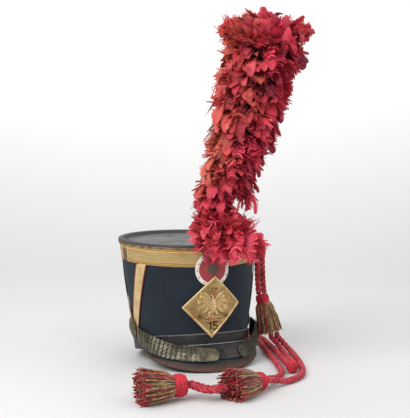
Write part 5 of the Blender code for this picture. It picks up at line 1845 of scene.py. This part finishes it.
def stage(look):
    backdrop = floor()
    lamps = [
        lamp("key", look.key_power, 1.5, -38, 1.3, 1.8),
        lamp("fill", look.key_power * 0.35, 2.2, 62, 0.9, 1.9),
        lamp("top", look.key_power * 0.45, 2.0, 175, 2.2, 0.9),
    ]
    world = bpy.data.worlds.new("studio")
    bpy.context.scene.world = world
    world.use_nodes = True
    background = world.node_tree.nodes["Background"].inputs
    background["Color"].default_value = (1, 1, 1, 1)
    background["Strength"].default_value = look.world_light
    scene = bpy.context.scene
    scene.view_settings.view_transform = "Standard"
    scene.view_settings.look = "None"
    scene.view_settings.exposure = 0
    scene.view_settings.gamma = 1


class ShakoLook(bpy.types.PropertyGroup):
    cloth: FloatVectorProperty(
        name="Cloth", description="Colour of the body's cloth",
        subtype="COLOR", default=(0.0036, 0.0084, 0.0152))
    lace: FloatVectorProperty(
        name="Lace", description="Colour of the gold lace",
        subtype="COLOR", default=(0.5, 0.32, 0.11))
    feathers: FloatVectorProperty(
        name="Feathers", description="Colour of the plume's feathers",
        subtype="COLOR", default=(0.56, 0.021, 0.055))
    cord: FloatVectorProperty(
        name="Cord", description="Colour of the cords and knots",
        subtype="COLOR", default=(0.47, 0.012, 0.03))
    bullion: FloatVectorProperty(
        name="Fringe", description="Colour of the fringes' strands",
        subtype="COLOR", default=(0.255, 0.155, 0.058))
    feather_count: IntProperty(
        name="Feathers", description="How many feathers the plume has", default=2000, min=200, max=6000)
    feather_length: FloatProperty(
        name="Feather length", description="Length of a feather", default=0.04, unit="LENGTH")
    feather_width: FloatProperty(
        name="Feather width", description="Width of a feather", default=0.0225, unit="LENGTH")
    plume_seed: IntProperty(
        name="Plume seed", description="Seed of the feathers' places", default=5)
    cord_pitch: FloatProperty(
        name="Cord pitch", description="Length of one turn of a cord's strands", default=0.027, unit="LENGTH")
    strand_count: IntProperty(
        name="Strands", description="How many strands a fringe has", default=210, min=20, max=600)
    key_power: FloatProperty(
        name="Key light", description="Power of the key lamp", default=40.0, unit="POWER")
    join_place: FloatProperty(
        name="Join", description="Place of the lace's frayed join round the crown",
        default=-0.177, unit="LENGTH")
    world_light: FloatProperty(
        name="World light", description="Strength of the pale surroundings", default=0.6)


def plain(look, name, colour, rough, scale, metal=0.0):
    """One colour that darkens and lightens a little."""
    shader = Shader(name, Roughness=rough, Metallic=metal)
    mask = shader.step(shader.noise(scale, 3.0), 0.3, 0.7)
    tone = shader.mix(mask, toned(colour, 0.55), colour)
    return shader.finish(tone, shader.noise(scale * 6, 2.0), 0.3, 0.0003)


def scale_material(look, name, bright, dull):
    """Tarnished scales, with painted shade where each comes out from under the one before it."""
    shader = Shader(name, Metallic=0.75, Roughness=0.45)
    effect = shader.group(look["tarnish"], 70.0)
    tone = shader.mix(effect["Mask"], bright, dull)
    hidden = shader.attribute("hidden")
    # painted shade: near black and not metallic where each scale comes out from under the one before
    tone = shader.mix(hidden, tone, (0.01, 0.009, 0.007))
    shader.feed("Metallic", shader.times(shader.minus(1.0, hidden), 0.75))
    shader.roughen(0.4, effect["Mask"], 0.2)
    return shader.finish(tone, effect["Fine"], 0.2, 0.0003)


def crown_material(look, name):
    """The crown's leather: grey and scuffed on the disc, black at the rim, brown where it is stitched."""
    shader = Shader(name, Roughness=0.5)
    effect = shader.group(look["old leather"], 1.0)
    part = shader.attribute("part")
    streak = shader.noise(17, 7, 0.68, 0.9)
    disc = shader.ramp(streak, (0.34, (0.024, 0.024, 0.026)), (0.46, (0.074, 0.073, 0.074)),
                       (0.62, (0.165, 0.162, 0.16)))
    disc = shader.mix(effect["Wear"], disc, (0.3, 0.29, 0.28), 0.5)
    tone = shader.mix(shader.step(part, 0.8, 0.97), disc, (0.036, 0.035, 0.036))
    tone = shader.mix(effect["Cracks"], tone, (0.012, 0.011, 0.011), 0.5)
    threads = shader.spots(0.4, 0.62, 90, 4)
    strip = shader.mix(threads, (0.115, 0.06, 0.026), (0.34, 0.22, 0.1))
    tone = shader.mix(shader.step(part, 1.35, 1.65), tone, strip)
    shader.roughen(0.42, streak, 0.3)
    return shader.finish(tone, effect["Height"], 0.5, 0.0007)


def knot_material(look, name):
    shader = Shader(name, Roughness=0.75, Sheen_Weight=0.04, Sheen_Roughness=0.5,
                    Sheen_Tint=(1.0, 0.4, 0.35, 1))
    red = toned(look.cord, 1.12)
    tone = shader.ramp(shader.noise(130, 4, 0.7), (0.32, toned(red, 0.4)), (0.52, red),
                       (0.76, (0.6, 0.024, 0.045)))
    return shader.finish(tone, shader.noise(900, 3), 0.5, 0.0005)


def edged_leather(look, name, base, edge, start=0.5):
    """Black leather whose worn edge, where the attribute reaches 1, has another colour."""
    shader = Shader(name, Roughness=0.38, Specular_IOR_Level=0.32)
    effect = shader.group(look["old leather"], 1.0)
    broad = shader.spots(0.34, 0.68, 13, 6, 0.6)
    tone = shader.mix(broad, base, toned(base, 1.8, 0.003))
    worn = shader.attribute("worn")
    ragged = shader.plus(worn, shader.times(shader.minus(shader.noise(70, 5), 0.5), 0.5))
    mask = shader.step(ragged, start - 0.06, start + 0.1)
    tone = shader.mix(mask, tone, edge)
    tone = shader.mix(effect["Wear"], tone, toned(edge, 1.5, 0.02), 0.22)
    tone = shader.mix(effect["Cracks"], tone, (0.007, 0.006, 0.006), 0.7)
    if start > 0.5:
        tone = shader.mix(shader.step(worn, 0.965, 0.995), tone, (0.016, 0.012, 0.011))
    shader.roughen(0.46, mask, 0.2)
    return shader.finish(tone, effect["Height"], 0.5, 0.0007)


def galon_material(look, name):
    """The galon: bright border lines, a duller field with streaks, and a frayed brown join."""
    shader = Shader(name, Roughness=0.5, Metallic=0.3)
    along, across, _ = shader.uv()
    gold = tuple(look.lace)
    bright = (min(gold[0] * 1.65, 1), gold[1] * 1.55, gold[2] * 1.35)
    dull = (gold[0] * 0.88, gold[1] * 1.0, gold[2] * 1.2)
    dark = (gold[0] * 0.3, gold[1] * 0.24, gold[2] * 0.22)
    field = shader.ramp(shader.math("DIVIDE", across, GALON_HEIGHT), (0.0, bright), (0.095, dark),
                        (0.135, bright), (0.19, dark), (0.215, gold), (0.4, dull), (0.66, dull),
                        (0.82, gold), (0.872, bright), (0.955, dark), (0.975, bright))
    stretched = shader.add("CombineXYZ", X=shader.times(along, 26.0),
                           Y=shader.times(across, 620.0)).outputs[0]
    streak = shader.noise(1, 5, 0.7, vector=stretched)
    field = shader.mix(shader.step(streak, 0.5, 0.7), field, dark, 0.62)
    field = shader.mix(shader.step(streak, 0.46, 0.28), field, (0.78, 0.6, 0.3), 0.55)
    patch = shader.spots(0.56, 0.7, 30, 6, 0.7)
    field = shader.mix(patch, field, (0.2, 0.13, 0.05), 0.4)
    seam = shader.distance(along, look.join_place)
    ragged = shader.plus(seam, shader.times(shader.minus(streak, 0.5), 0.016))
    frayed = shader.times(shader.step(ragged, 0.012, 0.007), shader.step(across, 0.027, 0.02))
    field = shader.mix(frayed, field, (0.085, 0.042, 0.02))
    lip = shader.times(shader.step(ragged, 0.01, 0.0122), shader.step(ragged, 0.015, 0.0128))
    field = shader.mix(lip, field, bright, 0.8)
    shader.feed("Metallic", shader.times(shader.minus(1.0, frayed), 0.3))
    ribs = shader.wave(along, 0.0012)
    height = shader.plus(shader.times(streak, 1.4), shader.times(ribs, 0.3))
    return shader.finish(field, height, 0.6, 0.0006)


def plate_material(look, name):
    """Gilt brass: bright where it is raised, brown tarnish in the hollows."""
    shader = Shader(name, Metallic=0.85, Roughness=0.36)
    effect = shader.group(look["tarnish"], 75.0)
    raised = shader.attribute("raised")
    field = shader.mix(effect["Mask"], (0.56, 0.41, 0.175), (0.33, 0.235, 0.085))
    relief = shader.ramp(raised, (0.0, (0.52, 0.38, 0.155)), (0.045, (0.16, 0.085, 0.032)),
                         (0.2, (0.33, 0.21, 0.085)), (0.46, (0.44, 0.31, 0.13)),
                         (0.66, (0.68, 0.52, 0.26)), (0.8, (0.64, 0.49, 0.25)))
    tone = shader.mix(shader.step(raised, 0.005, 0.03), field, relief)
    stain = shader.spots(0.52, 0.63, 80, 5, 0.65, 1.2)
    tone = shader.mix(stain, tone, (0.42, 0.12, 0.045), 0.62)
    shader.roughen(0.3, effect["Mask"], 0.2)
    return shader.finish(tone, effect["Fine"], 0.15, 0.0003)


MATERIALS = (
    ("cloth", cloth_material),
    ("galon lace", galon_material),
    ("chevron lace", lace_material),
    ("crown leather", crown_material),
    ("band leather", edged_leather, (0.012, 0.012, 0.014), (0.115, 0.11, 0.105)),
    ("peak leather", edged_leather, (0.014, 0.014, 0.016), (0.095, 0.043, 0.027), 0.8),
    ("strap leather", leather_material, (0.01, 0.01, 0.011), (0.03, 0.028, 0.027)),
    ("seam thread", plain, (0.42, 0.41, 0.38), 0.45, 220.0),
    ("dark thread", plain, (0.03, 0.015, 0.009), 0.8, 300.0),
    ("dark iron", plain, (0.035, 0.032, 0.03), 0.45, 120.0, 0.6),
    ("old brass", brass_material, (0.2, 0.18, 0.11), (0.085, 0.076, 0.047), 0.42),
    ("scale brass", scale_material, (0.19, 0.172, 0.118), (0.07, 0.063, 0.044)),
    # the same scale brass made darker for the left strap, which faces away from the key lamp: painted shade
    ("dark scales", scale_material, (0.085, 0.075, 0.055), (0.035, 0.031, 0.024)),
    ("plate brass", plate_material),
    ("fittings brass", brass_material, (0.52, 0.36, 0.14), (0.28, 0.18, 0.07), 0.35),
    ("cockade paint", cockade_material),
    ("red cord", cord_material),
    ("knot wool", knot_material),
    ("fringe strands", strand_material),
    ("feathers", feather_material),
    # near-black maroon for the core, painted shade inside the plume; the loose wisps use it too
    ("plume core", plain, (0.05, 0.003, 0.007), 0.85, 90.0),
)


class Look:
    """The settings with the materials made from them."""

    made = None

    def __init__(self, settings):
        self.settings = settings
        self.things = {"old leather": old_leather_group(), "tarnish": tarnish_group()}
        for name, make, *values in MATERIALS:
            self.things[name] = make(self, name, *values)

    def __getattr__(self, name):
        return getattr(self.settings, name)

    def __getitem__(self, name):
        return self.things[name]


def current_look():
    """The settings and materials, made once."""
    Look.made = Look.made or Look(bpy.context.scene.shako)
    return Look.made


class SHAKO_OT_camera(bpy.types.Operator):
    """Place the camera"""

    bl_idname = "shako.camera"
    bl_label = "Camera"
    bl_options = {"REGISTER", "UNDO"}

    def execute(self, context):
        camera()
        return {"FINISHED"}


class SHAKO_OT_stage(bpy.types.Operator):
    """Build the floor, the lamps and the surroundings"""

    bl_idname = "shako.stage"
    bl_label = "Stage"
    bl_options = {"REGISTER", "UNDO"}

    def execute(self, context):
        stage(current_look())
        return {"FINISHED"}


class SHAKO_OT_body(bpy.types.Operator):
    """Build the cloth body"""

    bl_idname = "shako.body"
    bl_label = "Body"
    bl_options = {"REGISTER", "UNDO"}

    def execute(self, context):
        body_cloth(current_look())
        return {"FINISHED"}


class SHAKO_OT_crown(bpy.types.Operator):
    """Build the crown's leather and its stitches"""

    bl_idname = "shako.crown"
    bl_label = "Crown"
    bl_options = {"REGISTER", "UNDO"}

    def execute(self, context):
        look = current_look()
        crown_leather(look)
        crown_stitches(look)
        return {"FINISHED"}


class SHAKO_OT_lace(bpy.types.Operator):
    """Build the galon and the chevrons"""

    bl_idname = "shako.lace"
    bl_label = "Lace"
    bl_options = {"REGISTER", "UNDO"}

    def execute(self, context):
        look = current_look()
        galon_lace(look)
        chevron(look, "chevron_lace_left", radians(90), "chevron_left")
        chevron(look, "chevron_lace_right", radians(-90), "chevron_right")
        return {"FINISHED"}


class SHAKO_OT_leather(bpy.types.Operator):
    """Build the band and the peak"""

    bl_idname = "shako.leather"
    bl_label = "Leather"
    bl_options = {"REGISTER", "UNDO"}

    def execute(self, context):
        look = current_look()
        base_band(look)
        peak(look)
        return {"FINISHED"}


class SHAKO_OT_chinscales(bpy.types.Operator):
    """Build the rosettes, the chinscales and the tongue"""

    bl_idname = "shako.chinscales"
    bl_label = "Chinscales"
    bl_options = {"REGISTER", "UNDO"}

    def execute(self, context):
        look = current_look()
        rosette(look, "rosette_brass_left", radians(90), "rosette_left")
        rosette(look, "rosette_brass_right", radians(-90), "rosette_right")
        # the left strap's scales take the darker copy of the scale brass, as painted shade
        chinscales(look, "scales_left", LEFT_STRAP, "chinscales_left", 6.0, "dark scales")
        chinscales(look, "scales_right", RIGHT_STRAP, "chinscales_right", 12.0, "scale brass")
        strap_tongue(look)
        return {"FINISHED"}


class SHAKO_OT_front(bpy.types.Operator):
    """Build the cockade and the plate"""

    bl_idname = "shako.front"
    bl_label = "Front"
    bl_options = {"REGISTER", "UNDO"}

    def execute(self, context):
        look = current_look()
        cockade(look)
        plate_brass(look)
        return {"FINISHED"}


class SHAKO_OT_plume(bpy.types.Operator):
    """Build the feather plume"""

    bl_idname = "shako.plume"
    bl_label = "Plume"
    bl_options = {"REGISTER", "UNDO"}

    def execute(self, context):
        plume(current_look())
        return {"FINISHED"}


class SHAKO_OT_tassels(bpy.types.Operator):
    """Build the knots and the fringes"""

    bl_idname = "shako.tassels"
    bl_label = "Tassels"
    bl_options = {"REGISTER", "UNDO"}

    def execute(self, context):
        tassels(current_look())
        return {"FINISHED"}


class SHAKO_OT_cords(bpy.types.Operator):
    """Build the cords"""

    bl_idname = "shako.cords"
    bl_label = "Cords"
    bl_options = {"REGISTER", "UNDO"}

    def execute(self, context):
        cords(current_look())
        return {"FINISHED"}


class SHAKO_OT_fittings(bpy.types.Operator):
    """Finish the plume's socket and the hooks, which keep the frame's own solids"""

    bl_idname = "shako.fittings"
    bl_label = "Fittings"
    bl_options = {"REGISTER", "UNDO"}

    def execute(self, context):
        look = current_look()
        for name in ("plume_socket", "cord_hook_left", "cord_hook_rear"):
            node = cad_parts[name]
            finish = look["knot wool"] if name == "plume_socket" else look["fittings brass"]
            if node.material_slots:
                for place in node.material_slots:
                    place.material = finish
            else:
                node.data.materials.append(finish)
        return {"FINISHED"}


class SHAKO_PT_panel(bpy.types.Panel):
    """The sidebar with the settings and one button for each group of pieces"""

    bl_label = "Shako"
    bl_idname = "SHAKO_PT_panel"
    bl_space_type = "VIEW_3D"
    bl_region_type = "UI"
    bl_category = "Shako"

    def draw(self, context):
        settings = context.scene.shako
        for name in ShakoLook.__annotations__:
            self.layout.prop(settings, name)
        for operator in OPERATORS:
            self.layout.operator(operator.bl_idname)


OPERATORS = (
    SHAKO_OT_camera,
    SHAKO_OT_stage,
    SHAKO_OT_body,
    SHAKO_OT_crown,
    SHAKO_OT_lace,
    SHAKO_OT_leather,
    SHAKO_OT_chinscales,
    SHAKO_OT_front,
    SHAKO_OT_plume,
    SHAKO_OT_tassels,
    SHAKO_OT_cords,
    SHAKO_OT_fittings,
)
CLASSES = (ShakoLook, *OPERATORS, SHAKO_PT_panel)


def register():
    for item in CLASSES:
        bpy.utils.register_class(item)
    bpy.types.Scene.shako = PointerProperty(type=ShakoLook)


def unregister():
    del bpy.types.Scene.shako
    for item in reversed(CLASSES):
        bpy.utils.unregister_class(item)


def main():
    register()
    bpy.ops.shako.camera()
    bpy.ops.shako.body()
    bpy.ops.shako.crown()
    bpy.ops.shako.lace()
    bpy.ops.shako.leather()
    bpy.ops.shako.chinscales()
    bpy.ops.shako.front()
    bpy.ops.shako.plume()
    bpy.ops.shako.tassels()
    bpy.ops.shako.cords()
    bpy.ops.shako.fittings()
    bpy.ops.shako.stage()


if __name__ == "__main__":
    main()
